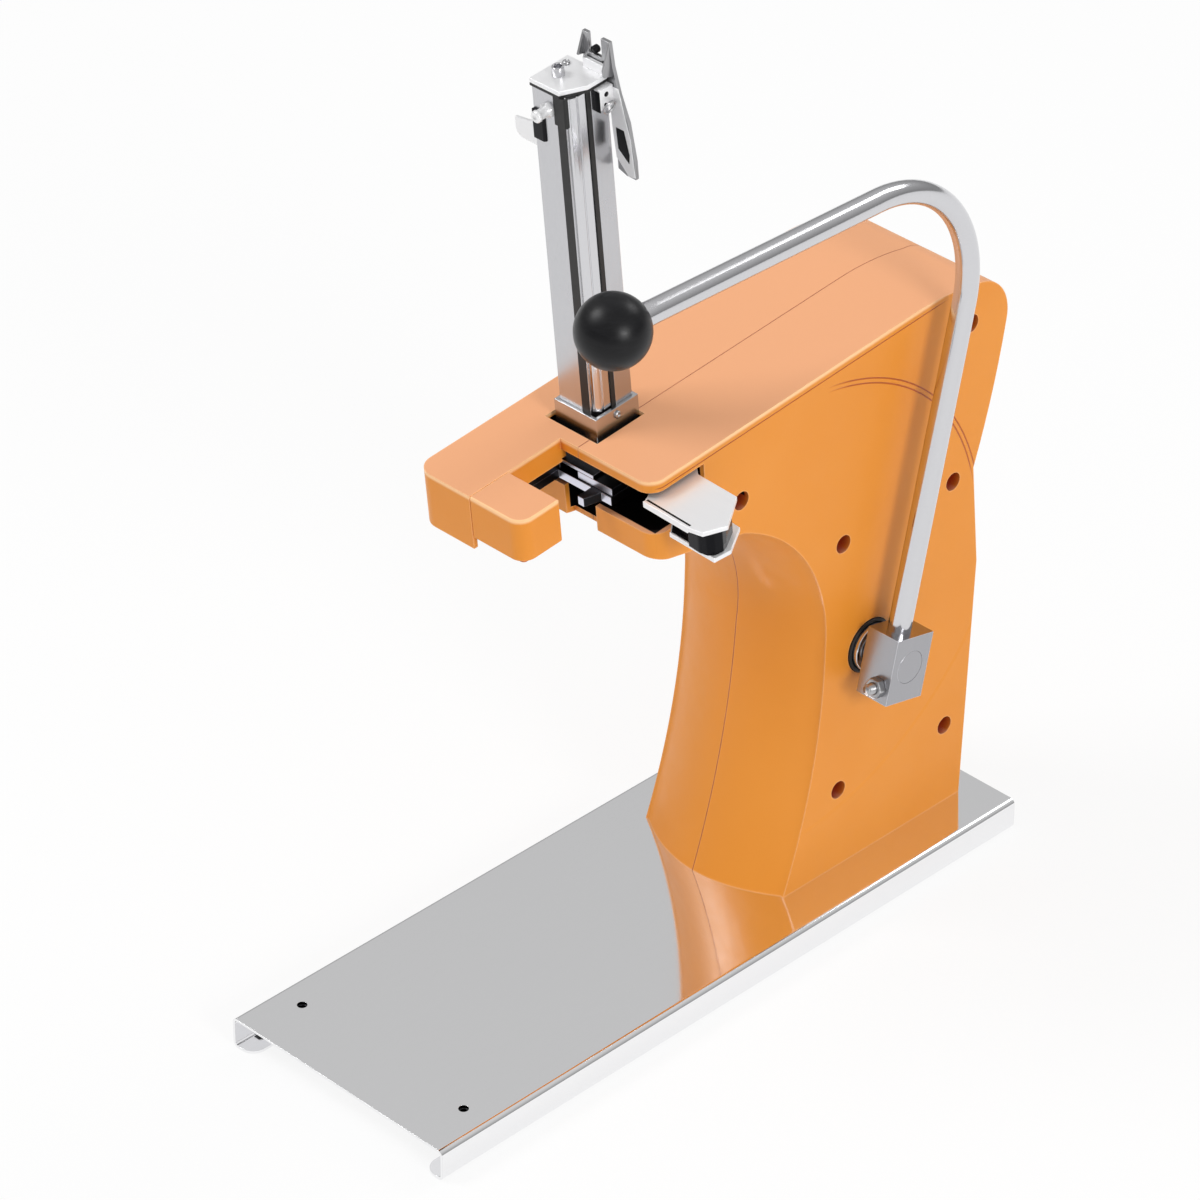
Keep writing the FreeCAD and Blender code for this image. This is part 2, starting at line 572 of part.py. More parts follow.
def side_plates():
    """Two steel plates on the base that carry the shaft and the channel."""
    step = "side_step"
    points = [("-side_rear - side_deep", "0"), ("-side_rear", "0"), ("-side_rear", "notch_rise"),
              ("4", "crown_rise"), ("4", "crown_rise + 12"), ("-25", on_plate_line("25", "8")),
              (f"-{step}", on_plate_line(step, "8")), (f"-{step}", on_plate_line(step, PLATE_BASE)),
              ("-side_front", on_plate_line("side_front", PLATE_BASE)),
              ("-side_front", "chin_rise + 11"), ("-chin_reach + 14", "chin_rise - 1"),
              ("-throat_reach + 16", "throat_rise - 4"), ("-waist_reach + 4", "waist_rise + 20"),
              ("-waist_reach + 4", "waist_rise - 60")]
    for node, start in (("side_plate_left", "-side_left"), ("side_plate_right", "side_right - side_thick")):
        body = plate(node, "YZ_Plane", points, start, "side_thick")
        holes = [post(f"{node}_bore", "bush_radius + fit_gap", "X", f"{start} - 1",
                      f"{start} + side_thick + 1", "-shaft_forward", "shaft_rise")]
        for name in RECESSES:
            holes.append(post(f"{node}_{name}", "screw_radius + fit_gap", "X", f"{start} - 1",
                              f"{start} + side_thick + 1", f"-{name}_reach", f"{name}_rise"))
        finish(cut_from(node + "_cut", body, holes), node, "body")
    ties = [post(f"tie_{k}", "tie_radius", "X", "-side_left + side_thick", "side_right - side_thick",
                 f"-{reach}", rise)
            for k, (reach, rise) in enumerate((("tie_front", "tie_low"), ("tie_rear", "tie_low"),
                                               ("tie_neck", "tie_high")))]
    finish(joined("ties", ties), "frame_spacers", "body")


def frame_feet():
    """Bars along the inner foot of each side plate, screwed to the base from below."""
    places = (("frame_foot_left", "-side_left + side_thick", "-side_left + side_thick + foot_wide"),
              ("frame_foot_right", "side_right - side_thick - foot_wide", "side_right - side_thick"))
    for node, left, right in places:
        bar = block(node + "_bar", left, right, "-side_rear - side_deep", "-side_rear", "0", "foot_thick")
        holes = [post(f"{node}_hole_{k}", "screw_radius + fit_gap", "Z", "-1", "foot_thick + 1",
                      across, along)
                 for k, (across, along) in enumerate(foot_screw_places())]
        finish(cut_from(node + "_cut", bar, holes), node, "body")


def fasteners():
    """Screws of the base and of the covers."""
    base_screws = []
    for k, (across, along) in enumerate(foot_screw_places()):
        base_screws.append(post(f"base_shank_{k}", "screw_radius", "Z", "-base_sheet - 0.5",
                                "foot_thick + 2", across, along))
        base_screws.append(post(f"base_head_{k}", "screw_radius * 2", "Z", "-base_sheet - 3",
                                "-base_sheet", across, along))
    finish(joined("base_screw_group", base_screws), "base_screws", "body")
    shell_screws = []
    left_floor = "-side_left - recess_wall"
    right_floor = "side_right + recess_wall"
    sides = (("left", f"{left_floor} - screw_head_high", left_floor, left_floor, "-side_left + side_thick"),
             ("right", right_floor, f"{right_floor} + screw_head_high", "side_right - side_thick",
              right_floor))
    for side, head_start, head_end, start, end in sides:
        for name in RECESSES:
            place = (f"-{name}_reach", f"{name}_rise")
            shell_screws.append(post(f"head_{side}_{name}", "recess_radius - 0.5", "X", head_start,
                                     head_end, *place))
            shell_screws.append(post(f"shank_{side}_{name}", "screw_radius", "X", start, end, *place))
    finish(joined("shell_screw_group", shell_screws), "shell_screws", "body")


def tube(name, outer, inner, start, end):
    """Tube around the axis of the shaft, in the body frame."""
    solid_part = post(name + "_out", outer, "X", start, end, "-shaft_forward", "shaft_rise")
    bore = post(name + "_bore", inner, "X", f"({start}) - 1", f"({end}) + 1",
                "-shaft_forward", "shaft_rise")
    return cut_from(name + "_cut", solid_part, [bore])


def bearings():
    """Bushes in the side plates, the ring outside and the spring around the shaft."""
    bore = "shaft_radius + fit_gap"
    finish(tube("bush_left", "bush_radius", bore, "-side_left", "-side_left + bush_long"),
           "shaft_bush_left", "body")
    finish(tube("bush_right", "bush_radius", bore, "side_right - side_thick", "side_right + 1"),
           "shaft_bush_right", "body")
    finish(tube("ring", "ring_radius", bore, "side_right + 1", "half_width + ring_long"),
           "shaft_ring", "body")
    finish(tube("spring", "spring_radius", "shaft_radius + 1.2", "side_right - side_thick - spring_long",
                "side_right - side_thick"), "return_spring", "body")


def lever_parts():
    """Shaft, block, bent rod, ball knob and clamp screw of the hand lever."""
    left = "lever_side - block_wide / 2"
    right = "lever_side + block_wide / 2"
    shaft = post("shaft", "shaft_radius", "X", "-side_left - 2", right, "0", "0")
    finish(shaft, "lever_shaft", "lever")
    clamp_place = ("lever_side + 3", "-clamp_drop - 4")
    body = block("block_body", left, right, "-block_deep / 2", "block_deep / 2", "-block_high / 2 - 1",
                 "block_high / 2 - 1")
    bore = post("block_bore", "shaft_radius + fit_gap", "X", f"{left} - 1", f"{right} + 1", "0", "0")
    socket = post("block_socket", "rod_radius + fit_gap", "Z", "rod_seat", "block_high",
                  "lever_side", "-rod_offset")
    clamp_hole = post("block_clamp", "clamp_radius + fit_gap", "Y", "-block_deep", "0", *clamp_place)
    finish(cut_from("block_cut", body, [bore, socket, clamp_hole]), "lever_block", "lever")
    bolt = post("clamp_shank", "clamp_radius", "Y", "-block_deep / 2 - 10", "-block_deep / 2 + 6",
                *clamp_place)
    finish(bolt, "clamp_bolt", "lever")
    nut = doc.addObject("Part::Prism", "clamp_hexagon")
    nut.Placement = Placement(Vector(), Rotation(Vector(1, 0, 0), 90))
    bind(nut, Circumradius="clamp_nut_radius", Height="4.5", Placement__Base__x=clamp_place[0],
         Placement__Base__y="-block_deep / 2", Placement__Base__z=clamp_place[1])
    nut_bore = post("clamp_nut_bore", "clamp_radius + fit_gap", "Y", "-block_deep", "0", *clamp_place)
    finish(cut_from("clamp_nut_cut", nut, [nut_bore]), "clamp_nut", "lever")
    tangent = "rod_bend * tan(rod_turn / 2)"
    lower = post("rod_lower", "rod_radius", "Z", "rod_seat", f"rod_rise - {tangent}",
                 "lever_side", "-rod_offset")
    bend = doc.addObject("Part::Torus", "rod_bend_piece")
    bend.Placement = Placement(Vector(), Rotation(Vector(0, 0, 1), Vector(-1, 0, 0)))
    bind(bend, Radius1="rod_bend", Radius2="rod_radius", Angle3="rod_turn",
         Placement__Base__x="lever_side", Placement__Base__y="-rod_offset - rod_bend",
         Placement__Base__z=f"rod_rise - {tangent}")
    bend.Placement = Placement(Vector(), Rotation(Vector(0, 1, 0), Vector(0, 0, 1), Vector(1, 0, 0)))
    upper = doc.addObject("Part::Cylinder", "rod_upper")
    upper.Placement = Placement(Vector(), Rotation(Vector(1, 0, 0), 1))
    bind(upper, Radius="rod_radius", Height=f"rod_reach - {tangent} - ball_radius * 0.6",
         Placement__Base__x="lever_side",
         Placement__Base__y=f"-rod_offset - {tangent} * sin(rod_turn)",
         Placement__Base__z=f"rod_rise + {tangent} * cos(rod_turn)",
         Placement__Rotation__Angle="rod_turn")
    finish(joined("rod_join", [lower, bend, upper]), "lever_rod", "lever")
    ball_y = "-rod_offset - rod_reach * sin(rod_turn)"
    ball_z = "rod_rise + rod_reach * cos(rod_turn)"
    ball = doc.addObject("Part::Sphere", "ball")
    bind(ball, Radius="ball_radius", Placement__Base__x="lever_side", Placement__Base__y=ball_y,
         Placement__Base__z=ball_z)
    socket = doc.addObject("Part::Cylinder", "ball_socket")
    socket.Placement = Placement(Vector(), Rotation(Vector(1, 0, 0), 1))
    bind(socket, Radius="rod_radius + fit_gap", Height="ball_radius * 2",
         Placement__Base__x="lever_side",
         Placement__Base__y=f"{ball_y} + ball_radius * 2.6 * sin(rod_turn)",
         Placement__Base__z=f"{ball_z} - ball_radius * 2.6 * cos(rod_turn)",
         Placement__Rotation__Angle="rod_turn")
    finish(cut_from("ball_cut", ball, [socket]), "ball_knob", "lever")


def crank_parts():
    """Crank on the shaft and its pin, in the crank's own frame."""
    left = "-clip_centre - crank_thick / 2"
    right = "-clip_centre + crank_thick / 2"
    hub = post("crank_hub", "shaft_radius + 7", "X", left, right, "0", "0")
    tip = post("crank_tip", "crank_pin_radius + eye_wall", "X", left, right, "0", "crank_length")
    bar = block("crank_bar", left, right, "-crank_pin_radius - eye_wall", "crank_pin_radius + eye_wall",
                "0", "crank_length")
    bore = post("crank_bore", "shaft_radius + fit_gap", "X", f"{left} - 1", f"{right} + 1", "0", "0")
    pin_hole = post("crank_pin_hole", "crank_pin_radius + fit_gap", "X", f"{left} - 1", f"{right} + 1",
                    "0", "crank_length")
    finish(cut_from("crank_cut", joined("crank_join", [hub, tip, bar]), [bore, pin_hole]),
           "crank_arm", "crank")
    pin = post("crank_stud", "crank_pin_radius", "X", left, f"{right} + link_thick + 1", "0",
               "crank_length")
    finish(pin, "crank_pin", "crank")


def link_part():
    """Link from the crank's pin to the punch; its upper end is slotted."""
    start = "-clip_centre + crank_thick / 2 + 0.3"
    points = [(f"{SLIDE_Y} - 8", "-pin_depth + 6"), (f"{SLIDE_Y} + 8", "-pin_depth + 6"),
              (f"{SLIDE_Y} + 9", "-pin_depth - slot_drop"), (f"{CRANK_Y} + 8", f"{CRANK_Z} + 3"),
              (f"{CRANK_Y} + 6", f"{CRANK_Z} - 7"), (f"{CRANK_Y} - 5", f"{CRANK_Z} - 7"),
              (f"{SLIDE_Y} - 8", "-pin_depth - slot_drop - 8")]
    body = plate("link", "YZ_Plane", points, start, "link_thick - 0.3")
    eye = post("link_eye", "crank_pin_radius + fit_gap", "X", f"{start} - 1", f"{start} + link_thick + 1",
               CRANK_Y, CRANK_Z)
    half_slot = "(slide_pin_radius + pin_slack)"
    slot = block("link_slot", f"{start} - 1", f"{start} + link_thick + 1", f"{SLIDE_Y} - {half_slot}",
                 f"{SLIDE_Y} + {half_slot}", "-pin_depth - slot_drop - slide_pin_radius",
                 f"-pin_depth + {half_slot}")
    finish(cut_from("link_cut", body, [eye, slot]), "connecting_link", "head")


def punch_parts():
    """Slider with its lug, the blade in front of it and the pin that the link drives."""
    half = f"({CHANNEL} - slider_gap)"
    base = "-plate_depth + slider_gap"
    top = f"-({RAIL_TOP}) - slider_gap"
    blade_rear = "-punch_back + blade_long"
    blade = block("blade", "-clip_centre - clip_width / 2 + 0.2", "-clip_centre + clip_width / 2 - 0.2",
                  "-punch_back", blade_rear, base, top)
    finish(blade, "punch_blade", "head")
    bar = block("slider_bar", f"-clip_centre - {half}", f"-clip_centre + {half}", blade_rear,
                f"{blade_rear} + slider_long", base, top)
    lug = block("slider_lug", "-clip_centre - crank_thick / 2", "-clip_centre + crank_thick / 2",
                f"{SLIDE_Y} - lug_long / 2", f"{SLIDE_Y} + lug_long / 2",
                "-pin_depth - slide_pin_radius - 2", top)
    hole = post("slider_hole", "slide_pin_radius + fit_gap", "X", "-clip_centre - crank_thick",
                "-clip_centre + crank_thick", SLIDE_Y, "-pin_depth")
    finish(cut_from("slider_cut", joined("slider_join", [bar, lug]), [hole]), "punch_slider", "head")
    pin = post("slider_stud", "slide_pin_radius", "X", "-clip_centre - crank_thick / 2",
               "-clip_centre + crank_thick / 2 + link_thick + 1", SLIDE_Y, "-pin_depth")
    finish(pin, "slider_pin", "head")


def gathering_arm():
    """Two plates above and below the channel, joined by a web at their outer end."""
    rim = "arm_out - 5.4"
    upper = [("arm_right - 8", "-arm_forward - 5"), ("43.8", "-arm_reach + 5.3"),
             ("45.5", "-arm_reach + 1.3"), ("arm_out - 12.7", "-arm_reach"), (rim, "-arm_reach + 1.5"),
             ("arm_out", "-arm_reach + 13.1"), ("arm_out - 12.7", "-arm_reach + 32.3"),
             ("half_width + 1", "-arm_forward - 8"), ("arm_right + 9", "-arm_forward - 2"),
             ("arm_right + 7", "-arm_forward + 6"), ("arm_right - 6", "-arm_forward + 8")]
    lower = [("arm_right - 8", "-arm_forward - 5"), ("46.5", "-arm_reach + 18.3"), ("56", "-arm_reach + 6.9"),
             ("arm_out - 2.6", "-arm_reach + 5.9"), ("arm_out - 1.4", "-arm_reach + 15.3"),
             ("arm_out - 10.6", "-arm_reach + 30.9"), ("half_width + 1", "-arm_forward - 8"),
             ("arm_right + 9", "-arm_forward - 2"), ("arm_right + 7", "-arm_forward + 6"),
             ("arm_right - 6", "-arm_forward + 8")]
    for node, points, top in (("gather_plate_upper", upper, "arm_upper"),
                              ("gather_plate_lower", lower, "arm_lower")):
        body = plate(node, "XY_Plane", points, f"-{top} - arm_thick", "arm_thick")
        hole = post(node + "_hole", "arm_pin_radius + fit_gap", "Z", f"-{top} - arm_thick - 1",
                    f"-{top} + 1", "arm_right", "-arm_forward")
        finish(cut_from(node + "_cut", body, [hole]), node, "head")
    web = [("arm_out - 6.5", "-arm_reach + 6.5"), ("arm_out - 4", "-arm_reach + 6.2"),
           ("arm_out - 2.4", "-arm_reach + 13.6"), ("arm_out - 4.8", "-arm_reach + 13.8")]
    finish(plate("gather_web", "XY_Plane", web, "-arm_lower", "arm_lower - arm_upper - arm_thick"),
           "gather_web", "head")
    stud = post("arm_stud", "arm_pin_radius", "Z", "-arm_lower - arm_thick - 1.6", "-arm_upper + 1.8",
                "arm_right", "-arm_forward")
    head = post("arm_stud_head", "arm_pin_radius + 2", "Z", "-arm_upper + 0.1", "-arm_upper + 1.8",
                "arm_right", "-arm_forward")
    clip = post("arm_stud_clip", "arm_pin_radius + 2", "Z", "-arm_lower - arm_thick - 1.6",
                "-arm_lower - arm_thick - 0.1", "arm_right", "-arm_forward")
    finish(joined("arm_stud_join", [stud, head, clip]), "arm_pivot_pin", "head")


def magazine_box():
    """Upright channels of the magazine, open at the right front corner, on its foot."""
    right = "-mag_left + mag_wide"
    rear = "-mag_front + mag_deep"
    floor = f"-({GUIDE_TOP})"
    foot = block("foot_box", "-mag_left - foot_sheet", f"{right} + foot_sheet",
                 "-mag_front - foot_sheet", f"{rear} + foot_sheet", floor, "foot_top")
    foot_room = block("foot_room", "-mag_left - 0.1", f"{right} + 0.1", "-mag_front - 0.1",
                      f"{rear} + 0.1", f"{floor} - 1", "foot_top + 1")
    finish(cut_from("foot_cut", foot, [foot_room]), "magazine_foot", "head")
    front_face = block("front_face", "-mag_left", f"{right} - 3.5", "-mag_front",
                       "-mag_front + mag_sheet", floor, "mag_top")
    front_lip = block("front_lip", "-mag_left", "-mag_left + mag_sheet", "-mag_front",
                      "-mag_front + 2.5", floor, "mag_top")
    finish(joined("front_join", [front_face, front_lip]), "magazine_front_channel", "head")
    rear_face = block("rear_face", "-mag_left", right, f"{rear} - mag_sheet", rear, floor, "mag_top")
    left_wall = block("left_wall", "-mag_left", "-mag_left + mag_sheet", f"{rear} - 17", rear, floor,
                      "mag_top")
    right_wall = block("right_wall", f"{right} - mag_sheet", right, f"{rear} - 10.8", rear, floor,
                       "mag_top")
    finish(joined("rear_join", [rear_face, left_wall, right_wall]), "magazine_rear_channel", "head")
    rail = block("corner_rail", f"{right} - 6", f"{right} - 1.8", "-mag_front + 2.4", "-mag_front + 6.2",
                 floor, "mag_top")
    finish(rail, "magazine_rail", "head")
    stack = block("clips", "-clip_centre - clip_width / 2 + 0.2", "-clip_centre + clip_width / 2 - 0.2",
                  f"{rear} - mag_sheet - 0.3 - clip_deep", f"{rear} - mag_sheet - 0.3", floor,
                  "stack_top")
    finish(stack, "clip_stack", "head")


def magazine_top():
    """Cap with its ear, the hollow post, the latch and what carries it."""
    right = "-mag_left + mag_wide"
    rear = "-mag_front + mag_deep"
    cap_top = "mag_top + cap_thick"
    cap = [("-mag_left - 0.7", "-mag_front - 0.6"), (f"{right} - 6", "-mag_front - 0.6"),
           (f"{right} + 0.6", "-mag_front + 12"), (f"{right} + 0.6", rear), ("-mag_left - 0.7", rear)]
    body = plate("cap", "XY_Plane", cap, "mag_top", "cap_thick")
    ear = block("cap_ear", f"{right} - 15", f"{right} + 3", f"{rear} - 2.2", rear, cap_top,
                f"{cap_top} + 14")
    finish(joined("cap_join", [body, ear]), "magazine_cap", "head")
    outer = post("post_out", "3.1", "Z", cap_top, f"{cap_top} + 4.8", "-mag_left + 8", "-mag_front + 10")
    bore = post("post_bore", "1.9", "Z", f"{cap_top} + 0.8", f"{cap_top} + 6", "-mag_left + 8",
                "-mag_front + 10")
    finish(cut_from("post_cut", outer, [bore]), "magazine_post", "head")
    side = block("latch_carrier", right, f"{right} + 4", f"{rear} - 8.5", rear, "mag_top - 11", "mag_top")
    finish(side, "latch_block", "head")
    roller = ("-latch_right - 6.3", f"{LATCH_HEIGHT} + 5")
    pins = [post("latch_pivot", "1.5", "Y", rear, f"{rear} + latch_thick + 1", "-latch_right",
                 LATCH_HEIGHT),
            post("latch_roller", "2", "Y", rear, f"{rear} + latch_thick + 1", *roller)]
    finish(joined("latch_pin_group", pins), "latch_pins", "head")
    foot = f"{LATCH_HEIGHT} - 58"
    tip = f"{LATCH_HEIGHT} + 13"
    notch = f"{LATCH_HEIGHT} + 2.6"
    points = [("-latch_right - 9.8", tip), ("-latch_right - 13.5", tip),
              ("-latch_right - 14", f"{LATCH_HEIGHT} - 6"), ("-latch_right - 3", f"{LATCH_HEIGHT} - 8"),
              ("6", f"{LATCH_HEIGHT} - 30"), ("7.5", f"{foot} + 14"), ("2.5", f"{foot} + 10"),
              ("2.5", f"{foot} + 2"), ("8", foot), ("14", foot), ("14", f"{foot} + 10"),
              ("11.5", f"{LATCH_HEIGHT} - 28"), ("7", f"{LATCH_HEIGHT} - 14"), ("4", LATCH_HEIGHT),
              ("3", tip), ("-latch_right - 1.4", tip), ("-latch_right - 1.4", notch),
              ("-latch_right - 9.8", notch)]
    lever_body = doc.addObject("PartDesign::Body", "latch_body")
    sketch = outline_sketch(lever_body, "latch_sketch", "XZ_Plane", points,
                            f"-({rear}) - 0.3 - latch_thick")
    pad = lever_body.newObject("PartDesign::Pad", "latch_pad")
    pad.Profile = sketch
    bind(pad, Length="latch_thick")
    hole = post("latch_hole", "1.5 + fit_gap", "Y", f"{rear} - 1", f"{rear} + latch_thick + 2",
                "-latch_right", LATCH_HEIGHT)
    finish(cut_from("latch_cut", lever_body, [hole]), "latch_lever", "head")


def pusher_parts():
    """Clip pusher in the magazine and the tab that moves it by hand."""
    rear = "-mag_front + mag_deep"
    top = f"{PUSHER_BASE} + pusher_high"
    main = block("pusher_block", "-mag_left + mag_sheet + 0.3", "-mag_left + mag_wide - mag_sheet - 0.3",
                 "-mag_front + 7.5", f"{rear} - mag_sheet - 0.3", PUSHER_BASE, top)
    finish(main, "clip_pusher", "head")
    root = block("tab_root", "-mag_left + 3", "-mag_left + 8", "-mag_front + 3.9", "-mag_front + 7.5",
                 f"{PUSHER_BASE} + 2", f"{top} - 2")
    wing = block("tab_wing", "-mag_left - tab_out", "-mag_left + 8", "-mag_front + 3.9",
                 "-mag_front + 5.4", f"{PUSHER_BASE} + 2", f"{top} - 2")
    finish(joined("tab_join", [root, wing]), "pusher_tab", "head")


def magazine_screws():
    """Screw heads on the magazine: cap, foot and front."""
    right = "-mag_left + mag_wide"
    heads = [post("cap_screw", "2", "Z", "mag_top + cap_thick", "mag_top + cap_thick + 1.5",
                  "-mag_left + 4", "-mag_front + 19"),
             post("foot_screw", "2", "X", f"{right} + foot_sheet", f"{right} + foot_sheet + 1.2",
                  "-mag_front + 12", "foot_top - 4"),
             post("front_screw", "2", "Y", "-mag_front - 1.2", "-mag_front", "-mag_left + 12",
                  "mag_top - 8")]
    finish(joined("magazine_screw_group", heads), "magazine_screws", "head")


def export():
    """Check every object and sub-part, then write one file for each sub-part."""
    doc.recompute()
    failed = [item.Name for item in doc.Objects if {"Invalid", "Error"} & set(item.State)]
    if failed:
        raise RuntimeError("failed objects: " + ", ".join(failed))
    os.makedirs("parts", exist_ok=True)
    for item in nodes:
        if item.Shape.isNull() or not item.Shape.isValid() or item.Shape.Volume <= 0:
            raise RuntimeError("bad shape: " + item.Label)
    for item in nodes:
        item.Shape.exportStep(f"parts/{item.Label}.step")
        print(item.Label, len(item.Shape.Solids), round(item.Shape.Volume, 1))


fill_sheet()
base_plate()
shells()
jaw_cover()
c_frame()
guide_rails()
jaw_parts()
side_plates()
frame_feet()
fasteners()
bearings()
lever_parts()
crank_parts()
link_part()
punch_parts()
gathering_arm()
magazine_box()
magazine_top()
pusher_parts()
magazine_screws()
export()
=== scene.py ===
"""Looks of the bag neck sealer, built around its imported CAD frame.

The row frame is in metres, with +Z up and +X on the lever's side. Most pieces are shaped in the
head's frame: x across, y rearwards along the head's top and z square to it, with the origin in
the middle of the head's top face. Sizes of pieces are in millimetres. Numbers in the finishes
are in metres, as the shader nodes take them.
"""

import logging
import math
from dataclasses import dataclass
from enum import Enum
from functools import reduce

import bmesh
import bpy
import numpy as np
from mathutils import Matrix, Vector


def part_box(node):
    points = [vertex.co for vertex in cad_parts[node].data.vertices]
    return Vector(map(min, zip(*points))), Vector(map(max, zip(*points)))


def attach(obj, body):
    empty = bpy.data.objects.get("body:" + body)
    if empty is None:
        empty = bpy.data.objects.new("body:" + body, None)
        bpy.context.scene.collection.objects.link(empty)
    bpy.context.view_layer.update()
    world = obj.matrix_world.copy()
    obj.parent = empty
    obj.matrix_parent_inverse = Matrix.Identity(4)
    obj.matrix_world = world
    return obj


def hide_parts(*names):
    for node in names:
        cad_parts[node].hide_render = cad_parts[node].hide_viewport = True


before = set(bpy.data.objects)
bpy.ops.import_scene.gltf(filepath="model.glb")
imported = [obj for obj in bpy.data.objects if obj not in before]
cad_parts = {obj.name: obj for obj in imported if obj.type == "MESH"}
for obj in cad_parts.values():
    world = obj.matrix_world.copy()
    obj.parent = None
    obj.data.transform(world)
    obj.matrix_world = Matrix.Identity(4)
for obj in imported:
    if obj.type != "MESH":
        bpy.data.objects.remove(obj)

LOG = logging.getLogger("bag_neck_sealer")
MM = 0.001
MICRON = 0.000001
FULL_TURN = 2.0 * math.pi

CAMERA_PLACE = Vector((1.72658, -1.74138, 1.84974))
CAMERA_TARGET = Vector((-0.050098, 0.025953, 0.168))
CAMERA_LENS_MM = 181.26
CAMERA_CLIP_END = 60.0
SENSOR_MM = 36.0

# Sockets of a Mix node set to colours: factor, first colour, second colour, and the result.
MIX_INPUTS = (0, 6, 7)
MIX_RESULT = 2
# Cosine between the rounded and the true normal: up to the first an edge is sharp, from the
# second on a face is flat.
EDGE_MASK_RANGE = (0.80, 0.995)
BEVEL_SAMPLES = 6
# Distances in metres at which points are merged, slivers dissolved and CAD triangles welded.
MERGE = 2.0 * MICRON
SLIVER = MICRON
WELD = 4.0 * MICRON
EDGE_STEPS = 3
NORMAL_WEIGHT = 90
# Sine of the angle between a path and X below which the circle is set out from Z.
NEARLY_ALONG = 0.2


@dataclass(frozen=True)
class Tilted:
    """A frame turned about X: millimetres in it go to metres of the row frame."""

    origin_mm: tuple
    degrees: float

    def to_row(self, points: np.ndarray) -> np.ndarray:
        """Turn points about X by the frame's angle and move them to its origin.

        Args:
            points: array whose last axis is x, y, z in millimetres.

        Returns:
            The same array in metres of the row frame.
        """
        angle = math.radians(self.degrees)
        turn = np.array(((1.0, 0.0, 0.0),
                         (0.0, math.cos(angle), -math.sin(angle)),
                         (0.0, math.sin(angle), math.cos(angle))))
        return (np.asarray(points, float) @ turn.T + np.array(self.origin_mm)) * MM


ROW = Tilted((0.0, 0.0, 0.0), 0.0)
BODY = Tilted((0.0, 190.0, 18.0), 0.0)
HEAD = Tilted((0.0, 3.0, 313.8), 5.57)
LEVER = Tilted((0.0, 117.3, 144.9), -12.8)


class Grain(Enum):
    """Stretch of the brushed lines on each axis: 1 along the way in which the steel was brushed."""

    ALONG_X = (1.0, 40.0, 40.0)
    ALONG_Y = (40.0, 1.0, 40.0)
    ALONG_Z = (40.0, 40.0, 1.0)
    NONE = (12.0, 12.0, 12.0)


